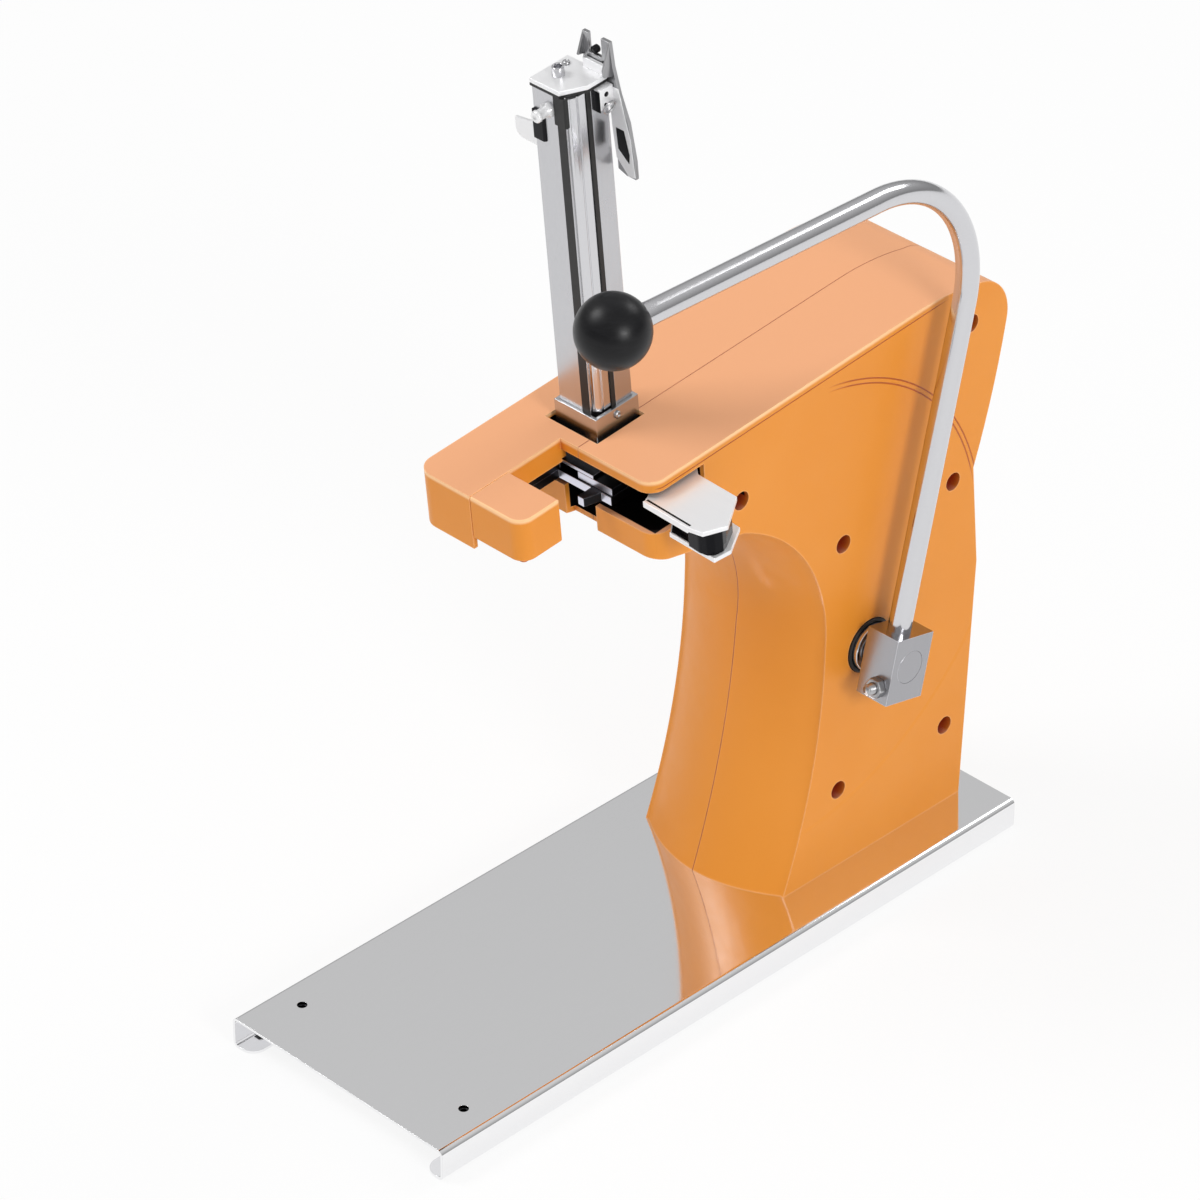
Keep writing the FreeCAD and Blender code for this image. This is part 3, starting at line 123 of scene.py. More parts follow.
class NodeSheet:
    """Short way to add and link shader nodes in one material."""

    def __init__(self, name: str) -> None:
        self.material = bpy.data.materials.new(name)
        self.material.use_nodes = True
        self.tree = self.material.node_tree
        self.tree.nodes.clear()
        self.output = self.tree.nodes.new("ShaderNodeOutputMaterial")
        self.shader = self.add("ShaderNodeBsdfPrincipled")
        self.link(self.shader.outputs["BSDF"], self.output.inputs["Surface"])
        self.place = self.add("ShaderNodeTexCoord").outputs["Object"]

    def add(self, kind: str, **values: object) -> bpy.types.Node:
        """Add a node.

        Args:
            kind: the node's type name.
            values: attributes to set on it.

        Returns:
            The new node.
        """
        node = self.tree.nodes.new(kind)
        for name, value in values.items():
            setattr(node, name, value)
        return node

    def link(self, source: bpy.types.NodeSocket, target: bpy.types.NodeSocket) -> None:
        """Link two sockets."""
        self.tree.links.new(source, target)

    def feed(self, value: object, target: bpy.types.NodeSocket) -> None:
        """Link a socket to a target, or set a number or a linear RGB on the target itself.

        Args:
            value: socket, number or linear RGB.
            target: the input that takes it.
        """
        if isinstance(value, tuple):
            target.default_value = (*value, 1.0)
        elif isinstance(value, (int, float)):
            target.default_value = value
        else:
            self.link(value, target)

    def shade(self, name: str, value: object) -> None:
        """Feed a socket, number or linear RGB to an input of the shader."""
        self.feed(value, self.shader.inputs[name])

    def noise(self, scale: float, detail: float = 4.0, stretch: tuple = (1.0, 1.0, 1.0),
              roughness: float = 0.55) -> bpy.types.NodeSocket:
        """Noise in object space.

        Args:
            scale: cells per metre.
            detail: octaves.
            stretch: factor on each axis before the noise.
            roughness: share of the finer octaves.

        Returns:
            The noise's value socket.
        """
        mapping = self.add("ShaderNodeMapping")
        mapping.inputs["Scale"].default_value = stretch
        self.link(self.place, mapping.inputs["Vector"])
        texture = self.add("ShaderNodeTexNoise")
        texture.inputs["Scale"].default_value = scale
        texture.inputs["Detail"].default_value = detail
        texture.inputs["Roughness"].default_value = roughness
        self.link(mapping.outputs["Vector"], texture.inputs["Vector"])
        return texture.outputs["Fac"]

    def parts(self, vector: bpy.types.NodeSocket) -> tuple:
        """X, Y and Z of a vector, as three sockets."""
        split = self.add("ShaderNodeSeparateXYZ")
        self.link(vector, split.inputs["Vector"])
        return tuple(split.outputs[axis] for axis in "XYZ")

    def facing(self) -> tuple:
        """X, Y and Z of the surface's normal, as three sockets."""
        return self.parts(self.add("ShaderNodeNewGeometry").outputs["Normal"])

    def spread(self, source: bpy.types.NodeSocket, low: float, high: float,
               start: float = 0.3, end: float = 0.7) -> bpy.types.NodeSocket:
        """Map a value from start..end to low..high.

        Args:
            source: the value.
            low: result at start.
            high: result at end.
            start: lower end of the source's range.
            end: upper end of the source's range.

        Returns:
            The mapped value's socket.
        """
        node = self.add("ShaderNodeMapRange")
        node.inputs["From Min"].default_value = start
        node.inputs["From Max"].default_value = end
        node.inputs["To Min"].default_value = low
        node.inputs["To Max"].default_value = high
        self.link(source, node.inputs["Value"])
        return node.outputs["Result"]

    def rises(self, source: bpy.types.NodeSocket, start: float,
              end: float) -> bpy.types.NodeSocket:
        """Zero up to start, and one from end on."""
        return self.spread(source, 0.0, 1.0, start, end)

    def falls(self, source: bpy.types.NodeSocket, start: float,
              end: float) -> bpy.types.NodeSocket:
        """One up to start, and zero from end on."""
        return self.spread(source, 1.0, 0.0, start, end)

    def arith(self, operation: str, *values: object) -> bpy.types.NodeSocket:
        """Maths on sockets or plain numbers.

        Args:
            operation: the Math node's operation.
            values: one socket or number, or two where the operation takes two.

        Returns:
            The result's socket.
        """
        node = self.add("ShaderNodeMath", operation=operation)
        for value, target in zip(values, node.inputs):
            self.feed(value, target)
        return node.outputs["Value"]

    def every(self, *masks: object) -> bpy.types.NodeSocket:
        """Product of masks or numbers."""
        return reduce(lambda first, second: self.arith("MULTIPLY", first, second), masks)

    def either(self, *masks: object) -> bpy.types.NodeSocket:
        """Largest of masks or numbers."""
        return reduce(lambda first, second: self.arith("MAXIMUM", first, second), masks)

    def blend(self, factor: bpy.types.NodeSocket, low: object,
              high: object) -> bpy.types.NodeSocket:
        """Mix two colours by a factor.

        Args:
            factor: 0 gives low and 1 gives high.
            low: socket or linear RGB.
            high: socket or linear RGB.

        Returns:
            The colour socket.
        """
        node = self.add("ShaderNodeMix", data_type="RGBA")
        for value, index in zip((factor, low, high), MIX_INPUTS):
            self.feed(value, node.inputs[index])
        return node.outputs[MIX_RESULT]

    def line(self, distance: bpy.types.NodeSocket, width: float) -> bpy.types.NodeSocket:
        """One on a line and zero beyond its width, with a soft flank.

        Args:
            distance: signed distance from the line.
            width: half the line's width in metres.

        Returns:
            The line's mask.
        """
        return self.falls(self.arith("ABSOLUTE", distance), 0.4 * width, 1.2 * width)

    def outside(self, along: bpy.types.NodeSocket, up: bpy.types.NodeSocket, centre: tuple,
                radius: float) -> bpy.types.NodeSocket:
        """Distance outside a circle in the side plane: the root of the squares, less the radius.

        Args:
            along: Y of the point.
            up: Z of the point.
            centre: Y and Z of the circle's centre.
            radius: the circle's radius.

        Returns:
            The distance in metres, negative inside.
        """
        gaps = (self.arith("SUBTRACT", value, middle)
                for value, middle in zip((along, up), centre))
        squares = [self.arith("POWER", self.arith("ABSOLUTE", gap), 2.0) for gap in gaps]
        return self.arith("SUBTRACT", self.arith("SQRT", self.arith("ADD", *squares)), radius)

    def edge_wear_and_highlight(self, radius: float) -> bpy.types.NodeSocket:
        """Mask of convex edges, from how the surface bends: the steels brighten their worn edges by
        it, and the paint lays a painted highlight on it.

        Args:
            radius: reach of the mask in metres.

        Returns:
            A socket that is 1 on sharp edges and 0 on flat faces.
        """
        bevel = self.add("ShaderNodeBevel", samples=BEVEL_SAMPLES)
        bevel.inputs["Radius"].default_value = radius
        geometry = self.add("ShaderNodeNewGeometry")
        dot = self.add("ShaderNodeVectorMath", operation="DOT_PRODUCT")
        self.link(bevel.outputs["Normal"], dot.inputs[0])
        self.link(geometry.outputs["Normal"], dot.inputs[1])
        return self.falls(dot.outputs["Value"], *EDGE_MASK_RANGE)

    def bump(self, height: bpy.types.NodeSocket, distance: float, strength: float = 1.0,
             below: bpy.types.NodeSocket = None) -> bpy.types.NodeSocket:
        """Bump from a height.

        Args:
            height: the height's socket.
            distance: metres for a height of one.
            strength: 0 to 1.
            below: normal of an earlier bump.

        Returns:
            The normal's socket.
        """
        node = self.add("ShaderNodeBump")
        node.inputs["Strength"].default_value = strength
        node.inputs["Distance"].default_value = distance
        self.link(height, node.inputs["Height"])
        if below is not None:
            self.link(below, node.inputs["Normal"])
        return node.outputs["Normal"]


@dataclass(frozen=True)
class Steel:
    """Bare or plated steel: brushed lines, smears, fine spots and brighter, smoother edges.

    The tones are factors on the colour, in the brushed lines and on the edges. A ground front has
    the edges' tone all over the faces that look forwards.
    """

    name: str
    colour: tuple
    roughness: float
    grain: Grain = Grain.NONE
    smear: float = 0.06
    line_depth: float = 0.00001
    line_tone: float = 0.90
    edge_tone: float = 1.25
    ground_front: bool = False
    metal: float = 1.0
    line_scale: float = 60.0
    line_range: tuple = (0.25, 0.75)
    line_strength: float = 0.7
    smear_scale: float = 28.0
    spot_scale: float = 420.0
    spot_range: tuple = (-0.004, 0.008)
    edge_reach: float = 0.0004
    edge_share: float = 0.8
    edge_polish: float = -0.5
    brightest: float = 0.95
    least_roughness: float = 0.03
    front_range: tuple = (-0.95, -0.75)

    def build(self) -> bpy.types.Material:
        """Make the material.

        Returns:
            A node material.
        """
        sheet = NodeSheet(self.name)
        lines = sheet.noise(self.line_scale, 3.0, self.grain.value)
        smears = sheet.noise(self.smear_scale, 5.0)
        spots = sheet.noise(self.spot_scale, 2.0)
        edges = sheet.edge_wear_and_highlight(self.edge_reach)
        bare = sheet.every(edges, self.edge_share)
        if self.ground_front:
            bare = sheet.either(bare, sheet.falls(sheet.facing()[1], *self.front_range))
        dark = tuple(self.line_tone * part for part in self.colour)
        bright = tuple(min(self.brightest, self.edge_tone * part) for part in self.colour)
        brushed = sheet.blend(sheet.rises(lines, *self.line_range), dark, self.colour)
        sheet.shade("Base Color", sheet.blend(bare, brushed, bright))
        sheet.shade("Metallic", self.metal)
        smeared = sheet.spread(smears, self.roughness - self.smear / 2, self.roughness + self.smear)
        spotted = sheet.arith("ADD", smeared, sheet.spread(spots, *self.spot_range))
        polished = sheet.every(edges, self.edge_polish * self.roughness)
        sheet.shade("Roughness", sheet.either(sheet.arith("ADD", spotted, polished),
                                              self.least_roughness))
        sheet.shade("Normal", sheet.bump(lines, self.line_depth, self.line_strength))
        return sheet.material


@dataclass(frozen=True)
class Paint:
    """Baked orange paint: fine orange-peel, painted sheen on top faces, painted highlights on
    edges, moulded lines, painted shade in hollows.

    The moulded lines lie on the covers' sides: a thin line under the head's rim, and a double bead
    that follows an arc between head and column. Low on the column is a faint step. A seam runs
    along the middle of the head, and a band of painted highlight lies under its top. The lines and
    the seam are painted darker, as shade in their grooves. Pairs of numbers are the ends of a soft
    change, along Y and Z of the row frame, in the head's frame, or in the normal.
    """

    name: str
    colour: tuple
    pale: tuple
    # Painted shade colour for hollows, the moulded lines and the seam.
    deep: tuple
    # Painted sheen: a paler colour laid on faces that look up.
    top_sheen: tuple
    # Painted highlight colour for the edges and the band under the head's top.
    lit_edge: tuple = (1.0, 0.60, 0.30)
    # Near-black painted shade for the faces inside the head and the chin.
    unlit: tuple = (0.005, 0.002, 0.002)
    roughness: float = 0.38
    rough_range: tuple = (-0.04, 0.07)
    unlit_roughness: float = 0.95
    specular: float = 0.34
    drift_scale: float = 9.0
    peel_scale: float = 900.0
    dust_scale: float = 60.0
    side_facing: tuple = (0.80, 0.95)
    flat_facing: tuple = (0.80, 0.97)
    head_start: tuple = (-0.039, -0.038)
    bead_centre: tuple = (0.06615, 0.18156)
    bead_radius: float = 0.1296
    bead_half: float = 0.0013
    bead_line: float = 0.00045
    bead_above: tuple = (0.208, 0.222)
    bead_behind: tuple = (0.082, 0.098)
    rim_depth: float = 0.0045
    rim_line: float = 0.00035
    rim_end: tuple = (0.158, 0.168)
    seam_line: float = 0.00030
    step_centre: tuple = (0.0631, 0.2113)
    step_radius: float = 0.1600
    step_flank: tuple = (-0.0012, 0.0012)
    step_below: tuple = (0.11, 0.15)
    arris_depth: tuple = (-0.0026, -0.0012)
    arris_facing: tuple = (0.10, 0.25)
    edge_reach: float = 0.0014
    edge_share: float = 0.45
    hollow_reach: float = 0.022
    hollow_range: tuple = (0.16, 0.72)
    hollow_share: float = 0.94
    line_share: float = 0.70
    cavity_half: tuple = (0.0461, 0.0465)
    cavity_middle: float = 0.030
    cavity_reach: tuple = (0.0690, 0.0694)
    cavity_top: tuple = (-0.0029, -0.0025)
    cavity_floor: tuple = (-0.0430, -0.0425)
    chin_floor: tuple = (-0.0800, -0.0795)
    chin_facing: tuple = (0.10, 0.20)
    chin_end: tuple = (0.0090, 0.0094)

    def in_head(self, sheet: NodeSheet) -> tuple:
        """X, Y and Z of the point in the head's frame, in metres, as three sockets."""
        turn = sheet.add("ShaderNodeMapping", vector_type="TEXTURE")
        turn.inputs["Location"].default_value = tuple(MM * part for part in HEAD.origin_mm)
        turn.inputs["Rotation"].default_value = (math.radians(HEAD.degrees), 0.0, 0.0)
        sheet.link(sheet.place, turn.inputs["Vector"])
        return sheet.parts(turn.outputs["Vector"])

    def moulded(self, sheet: NodeSheet, facing: tuple, depth: bpy.types.NodeSocket) -> tuple:
        """Masks of the moulded lines, the low step, the faces on top and the head's lit band.

        Args:
            sheet: the node sheet.
            facing: the normal's three sockets.
            depth: height over the head's top, negative below it.

        Returns:
            The mask of the lines, the step's height from 0 to 1, the mask of faces that lie flat
            and get the painted sheen, and the mask of the band under the head's top, which gets a
            painted highlight.
        """
        across, along, up = sheet.parts(sheet.place)
        sideways = sheet.arith("ABSOLUTE", facing[0])
        on_side = sheet.rises(sideways, *self.side_facing)
        on_head = sheet.rises(along, *self.head_start)
        bead = sheet.outside(along, up, self.bead_centre, self.bead_radius)
        twin = sheet.arith("SUBTRACT", sheet.arith("ABSOLUTE", bead), self.bead_half)
        bead = sheet.every(sheet.line(twin, self.bead_line), sheet.rises(up, *self.bead_above),
                           sheet.rises(along, *self.bead_behind))
        rim = sheet.line(sheet.arith("ADD", depth, self.rim_depth), self.rim_line)
        rim = sheet.every(rim, sheet.falls(along, *self.rim_end), on_head)
        seam = sheet.every(sheet.line(across, self.seam_line), on_head)
        lines = sheet.either(sheet.every(sheet.either(bead, rim), on_side), seam)
        step = sheet.outside(along, up, self.step_centre, self.step_radius)
        step = sheet.every(sheet.rises(step, *self.step_flank), on_side,
                           sheet.falls(up, *self.step_below))
        outwards = sheet.either(sideways, sheet.every(facing[1], -1.0))
        # A band just under the head's top, on faces that look outwards: painted highlight.
        arris = sheet.every(sheet.rises(depth, *self.arris_depth),
                            sheet.rises(outwards, *self.arris_facing))
        return lines, step, sheet.rises(facing[2], *self.flat_facing), arris

    def inside(self, sheet: NodeSheet, facing: tuple, place: tuple) -> bpy.types.NodeSocket:
        """One on the faces inside the head and the chin, short of their outer faces: these are
        painted nearly black, as shade.

        Args:
            sheet: the node sheet.
            facing: the normal's three sockets.
            place: the point's three sockets in the head's frame.

        Returns:
            The mask.
        """
        across, along, up = place
        past_middle = sheet.arith("SUBTRACT", along, self.cavity_middle)
        chin = sheet.every(sheet.rises(up, *self.chin_floor),
                           sheet.rises(facing[2], *self.chin_facing),
                           sheet.falls(along, *self.chin_end))
        return sheet.every(sheet.falls(sheet.arith("ABSOLUTE", across), *self.cavity_half),
                           sheet.falls(sheet.arith("ABSOLUTE", past_middle), *self.cavity_reach),
                           sheet.falls(up, *self.cavity_top),
                           sheet.either(sheet.rises(up, *self.cavity_floor), chin))

    def build(self) -> bpy.types.Material:
        """Make the material.

        Returns:
            A node material.
        """
        sheet = NodeSheet(self.name)
        drift = sheet.noise(self.drift_scale, 3.0)
        peel = sheet.noise(self.peel_scale, 2.0)
        dust = sheet.noise(self.dust_scale, 6.0, roughness=0.7)
        facing, place = sheet.facing(), self.in_head(sheet)
        lines, step, flat, arris = self.moulded(sheet, facing, place[2])
        hidden = self.inside(sheet, facing, place)
        # Painted highlight: convex edges and the band under the head's top.
        edges = sheet.either(sheet.every(sheet.edge_wear_and_highlight(self.edge_reach), self.edge_share), arris)
        # Painted shade: darker in hollows, from ambient occlusion, and along the moulded lines and
        # the seam.
        hollow = sheet.add("ShaderNodeAmbientOcclusion", samples=8, only_local=True)
        hollow.inputs["Distance"].default_value = self.hollow_reach
        shade = sheet.falls(hollow.outputs["AO"], *self.hollow_range)
        shade = sheet.either(sheet.every(shade, self.hollow_share),
                             sheet.every(lines, self.line_share))
        colour = sheet.blend(sheet.spread(drift, 0.0, 1.0), self.colour, self.pale)
        # Top faces get the painted sheen, edges the painted highlight, hollows and lines the
        # painted shade, and the inside of the head near-black painted shade.
        for mask, over in ((flat, self.top_sheen), (edges, self.lit_edge), (shade, self.deep),
                           (hidden, self.unlit)):
            colour = sheet.blend(mask, colour, over)
        sheet.shade("Base Color", colour)
        low, high = self.rough_range
        rough = sheet.spread(dust, self.roughness + low, self.roughness + high)
        sheet.shade("Roughness", sheet.either(rough, sheet.every(hidden, self.unlit_roughness)))
        sheet.shade("Specular IOR Level", self.specular)
        fine = sheet.bump(peel, 0.00001, 0.4)
        stepped = sheet.bump(step, 0.0005, 0.6, fine)
        sheet.shade("Normal", sheet.bump(sheet.arith("SUBTRACT", 1.0, lines), 0.0004, 0.8, stepped))
        return sheet.material


@dataclass(frozen=True)
class Moulding:
    """Moulded or dipped black plastic: fine texture, soft scuffs."""

    name: str
    colour: tuple
    roughness: float
    texture: float
    specular: float = 0.5
    grain_scale: float = 1600.0
    scuff_scale: float = 90.0
    scuff_stretch: tuple = (1.0, 1.0, 5.0)
    scuff_tone: tuple = (1.7, 0.004)
    scuff_rough: float = 0.12

    def build(self) -> bpy.types.Material:
        """Make the material.

        Returns:
            A node material.
        """
        sheet = NodeSheet(self.name)
        fine = sheet.noise(self.grain_scale, 2.0)
        scuffs = sheet.noise(self.scuff_scale, 6.0, self.scuff_stretch, 0.75)
        factor, offset = self.scuff_tone
        pale = tuple(factor * part + offset for part in self.colour)
        sheet.shade("Base Color", sheet.blend(sheet.rises(scuffs, 0.45, 0.8), self.colour, pale))
        sheet.shade("Roughness", sheet.spread(scuffs, self.roughness,
                                              self.roughness + self.scuff_rough, 0.4, 0.8))
        sheet.shade("Specular IOR Level", self.specular)
        sheet.shade("Normal", sheet.bump(fine, self.texture, 0.6))
        return sheet.material


MIRROR_STEEL = Steel("mirror_steel", (0.90, 0.90, 0.91), 0.05, Grain.ALONG_Y, smear=0.015,
                     line_depth=0.0, line_tone=0.985, edge_tone=0.8)
POLISHED = Steel("polished_bar", (0.66, 0.66, 0.68), 0.15, smear=0.02, line_depth=0.0,
                 line_tone=0.97)
BRUSHED_Z = Steel("brushed_upright", (0.58, 0.58, 0.60), 0.25, Grain.ALONG_Z, smear=0.03,
                  line_depth=MICRON, line_tone=0.93)
BRUSHED_X = Steel("brushed_across", (0.60, 0.60, 0.61), 0.25, Grain.ALONG_X, smear=0.03,
                  line_depth=MICRON, line_tone=0.93)
MACHINED = Steel("machined", (0.42, 0.42, 0.44), 0.24, Grain.ALONG_Z, smear=0.03,
                 line_depth=MICRON, line_tone=0.93, edge_tone=2.1)
GREY_STEEL = Steel("grey_sprung", (0.40, 0.40, 0.41), 0.30, Grain.ALONG_Z, smear=0.03,
                   line_depth=MICRON, line_tone=0.9, edge_tone=2.4)
DARK_STEEL = Steel("blackened", (0.022, 0.022, 0.024), 0.38, smear=0.04, line_depth=MICRON)
DARK_GROUND = Steel("blackened_ground_front", (0.016, 0.016, 0.018), 0.34, Grain.ALONG_X,
                    smear=0.04, line_depth=MICRON, line_tone=0.85, edge_tone=44.0,
                    ground_front=True)
# Painted shade and dark reflection: a dark copy of the bright sheet for the arm's parts under the
# upper plate, with its edges still bright.
SHADED_SHEET = Steel("dark_mirror", (0.014, 0.014, 0.016), 0.20, smear=0.02, line_depth=0.0,
                    line_tone=0.95, edge_tone=8.0)
ZINC = Steel("zinc_screws", (0.50, 0.50, 0.51), 0.28, smear=0.04, line_depth=MICRON)
BRONZE = Steel("sintered_bronze", (0.56, 0.38, 0.20), 0.42, smear=0.06, line_depth=4.0 * MICRON)
CLIP_WIRE = Steel("clip_aluminium", (0.78, 0.79, 0.80), 0.25, Grain.ALONG_X, smear=0.03,
                  line_depth=MICRON)
BRIGHT_SHEET = Steel("bright_sheet", (0.90, 0.90, 0.91), 0.34, Grain.ALONG_X, smear=0.03,
                     line_depth=0.0, line_tone=0.97, edge_tone=1.0, metal=0.45)
# Orange paint, with the colours of its painted shade, sheen and highlight.
ORANGE = Paint("orange_paint", colour=(0.78, 0.268, 0.023), pale=(0.81, 0.295, 0.034),
               deep=(0.36, 0.012, 0.006), top_sheen=(0.84, 0.40, 0.20))
BLACK_GLOSS = Moulding("black_ball", (0.003, 0.003, 0.004), 0.33, texture=2.0 * MICRON,
                       specular=0.27)
BLACK_MATTE = Moulding("black_plastic", (0.008, 0.008, 0.008), 0.5, texture=0.00001)


class FinishShelf:
    """Makes each finish's material once."""

    def __init__(self) -> None:
        self.made: dict = {}

    def get(self, finish: object) -> bpy.types.Material:
        """Material of a finish.

        Args:
            finish: a Steel, Paint or Moulding.

        Returns:
            Its material.
        """
        if finish.name not in self.made:
            self.made[finish.name] = finish.build()
        return self.made[finish.name]


SHELF = FinishShelf()


class Axis(Enum):
    """Which local axes carry a turned piece's two cross directions and its length."""

    X = ((0, 1, 0), (0, 0, 1), (1, 0, 0))
    Y = ((0, 0, 1), (1, 0, 0), (0, 1, 0))
    Z = ((1, 0, 0), (0, 1, 0), (0, 0, 1))


@dataclass(frozen=True)
class Ring:
    """One ring of a turned piece: a circle, or a polygon where it has sides."""

    radius: float
    height: float
    sides: int = 0

    def reach(self, angles: np.ndarray) -> np.ndarray:
        """Radius at each angle: constant, or the inradius over the cosine within one side.

        Args:
            angles: angles in radians.

        Returns:
            The radii in millimetres.
        """
        if self.sides == 0:
            return np.full_like(angles, self.radius)
        step = FULL_TURN / self.sides
        return self.radius / np.cos((angles % step) - step / 2.0)


class Shape:
    """Surfaces in millimetres of one frame, gathered into one mesh."""

    def __init__(self, place: Tilted) -> None:
        self.place = place
        self.points: list = []
        self.faces: list = []
        self.count = 0

    def _keep(self, points: np.ndarray, faces: np.ndarray) -> None:
        """Add points and the faces between them."""
        self.points.append(np.asarray(points, float).reshape(-1, 3))
        self.faces.extend((np.asarray(faces) + self.count).tolist())
        self.count += len(self.points[-1])

    def grid(self, points: np.ndarray, closed: bool = False) -> None:
        """Quads between the rows of a grid of points; closed joins the last column to the first.

        Args:
            points: array of rows, columns and x, y, z.
            closed: whether each row is a loop.
        """
        rows, columns = points.shape[:2]
        index = np.arange(rows * columns).reshape(rows, columns)
        if closed:
            index = np.concatenate((index, index[:, :1]), axis=1)
        quads = np.stack((index[:-1, :-1], index[:-1, 1:], index[1:, 1:], index[1:, :-1]), axis=-1)
        self._keep(points, quads.reshape(-1, 4))

    def turned(self, rows: list, centre: tuple, axis: object, steps: int = 32,
               sense: float = 1.0) -> "Shape":
        """Rings stacked along an axis: angle by ring, each point at the ring's reach.

        Args:
            rows: radius, height and, where it has them, sides of each ring, from one end to the
                other; a radius of 0 closes an end.
            centre: where height 0 lies.
            axis: an Axis, or its two cross directions and the direction of the height.
            steps: points in a ring.
            sense: 1, or -1 to turn the heights round.

        Returns:
            This shape.
        """
        rings = [Ring(*row) for row in rows]
        angles = np.linspace(0.0, FULL_TURN, steps, endpoint=False)
        directions = axis.value if isinstance(axis, Axis) else axis
        first, second, along = (np.array(part, float) for part in directions)
        reach = np.stack([ring.reach(angles) for ring in rings])
        heights = sense * np.array([ring.height for ring in rings])
        across = np.cos(angles)[:, None] * first + np.sin(angles)[:, None] * second
        points = reach[..., None] * across[None] + heights[:, None, None] * along + np.array(centre)
        self.grid(points, closed=True)
        return self

    def swept(self, path: np.ndarray, radii: np.ndarray, steps: int = 24) -> "Shape":
        """Circle carried along a path, square to it, by turning the last cross direction with it.

        Args:
            path: points of the centre line.
            radii: radius at each of them; 0 closes an end.
            steps: points in the circle.

        Returns:
            This shape.
        """
        along = np.gradient(path, axis=0)
        along /= np.linalg.norm(along, axis=1)[:, None]
        side = np.cross(along, np.array((1.0, 0.0, 0.0)))
        lengths = np.linalg.norm(side, axis=1)
        upright = np.cross(along, np.array((0.0, 0.0, 1.0)))
        side = np.where(lengths[:, None] > NEARLY_ALONG, side, upright)
        side /= np.linalg.norm(side, axis=1)[:, None]
        other = np.cross(along, side)
        angles = np.linspace(0.0, FULL_TURN, steps, endpoint=False)
        circle = (np.cos(angles)[:, None] * side[:, None]
                  + np.sin(angles)[:, None] * other[:, None])
        self.grid(path[:, None] + radii[:, None, None] * circle, closed=True)
        return self

    def prism(self, outline: list, low: float, high: float, axis: Axis = Axis.Z) -> "Shape":
        """Outline carried along an axis, with a face at each end.

        Args:
            outline: corner pairs in the two cross directions of the axis.
            low: start along the axis.
            high: end along the axis.
            axis: direction of the length.

        Returns:
            This shape.
        """
        corners = np.array(outline, float)
        first, second, along = (np.array(part, float) for part in axis.value)
        flat = corners[:, :1] * first + corners[:, 1:] * second
        self.grid(np.stack((flat + low * along, flat + high * along)), closed=True)
        start = self.count - 2 * len(corners)
        ends = np.arange(start, self.count).reshape(2, -1)
        self.faces.append(ends[0][::-1].tolist())
        self.faces.append(ends[1].tolist())
        return self

    def piece(self, name: str, finish: object, body: str, edge: float = 0.0,
              crease: float = 30.0) -> bpy.types.Object:
        """Make the object: doubles merged, faces turned outwards, edges rounded.

        Args:
            name: the piece's name.
            finish: its finish.
            body: the CAD body that it rides on.
            edge: width of the rounded edges in millimetres.
            crease: angle in degrees above which an edge is sharp.

        Returns:
            The new object.
        """
        mesh = bpy.data.meshes.new(name)
        mesh.from_pydata(self.place.to_row(np.concatenate(self.points)).tolist(), [], self.faces)
        work = bmesh.new()
        work.from_mesh(mesh)
        bmesh.ops.remove_doubles(work, verts=work.verts, dist=MERGE)
        bmesh.ops.dissolve_degenerate(work, edges=work.edges, dist=SLIVER)
        bmesh.ops.recalc_face_normals(work, faces=work.faces)
        work.to_mesh(mesh)
        work.free()
        item = bpy.data.objects.new(name, mesh)
        bpy.context.scene.collection.objects.link(item)
        dress(item, finish, edge, crease)
        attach(item, body)
        LOG.info("piece %s: %d faces", name, len(mesh.polygons))
        return item


def dress(item: bpy.types.Object, finish: object, edge: float, crease: float = 30.0) -> None:
    """Give an object its finish, smooth faces and rounded edges.

    Args:
        item: the object.
        finish: its finish.
        edge: width of the rounded edges in millimetres.
        crease: angle in degrees above which an edge is sharp.
    """
    mesh = item.data
    mesh.materials.clear()
    mesh.materials.append(SHELF.get(finish))
    mesh.polygons.foreach_set("use_smooth", np.ones(len(mesh.polygons), bool))
    mesh.polygons.foreach_set("material_index", np.zeros(len(mesh.polygons), np.int32))
    if edge > 0.0:
        bevel = item.modifiers.new("edge_round", "BEVEL")
        bevel.width = edge * MM
        bevel.segments = EDGE_STEPS
        bevel.limit_method = "ANGLE"
        bevel.angle_limit = math.radians(crease)
        bevel.use_clamp_overlap = True
        bevel.miter_outer = "MITER_ARC"
    weigh = item.modifiers.new("even_normals", "WEIGHTED_NORMAL")
    weigh.weight = NORMAL_WEIGHT
    weigh.keep_sharp = True


class Carried:
    """CAD nodes that are shown as they are, with their own finish and edges."""

    def dress(self, node: str, finish: object, edge: float, crease: float = 32.0,
              flat: float = 0.4) -> None:
        """Weld the node's loose triangles, join its flat faces, round its edges and finish it.

        Args:
            node: the node's name.
            finish: its finish.
            edge: width of the rounded edges in millimetres.
            crease: angle in degrees above which an edge is sharp.
            flat: angle in degrees below which two triangles are one face.
        """
        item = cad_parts[node]
        weld = item.modifiers.new("weld", "WELD")
        weld.merge_threshold = WELD
        join = item.modifiers.new("join_flats", "DECIMATE")
        join.decimate_type = "DISSOLVE"
        join.angle_limit = math.radians(flat)
        dress(item, finish, edge, crease)
        LOG.info("node %s dressed with %s", node, finish.name)

    def dress_all(self, table: tuple) -> None:
        """Dress each node of a table of node, finish, edge and, where it differs, crease."""
        for row in table:
            self.dress(*row)


CARRY = Carried()


def rectangle(left: float, front: float, right: float, rear: float) -> tuple:
    """Four corners of a rectangle, as an outline."""
    return (left, front), (right, front), (right, rear), (left, rear)


def wire_radii(count: int, radius: float) -> np.ndarray:
    """One radius for each point of a path, and 0 at both ends, which closes them."""
    radii = np.full(count, radius)
    radii[[0, -1]] = 0.0
    return radii


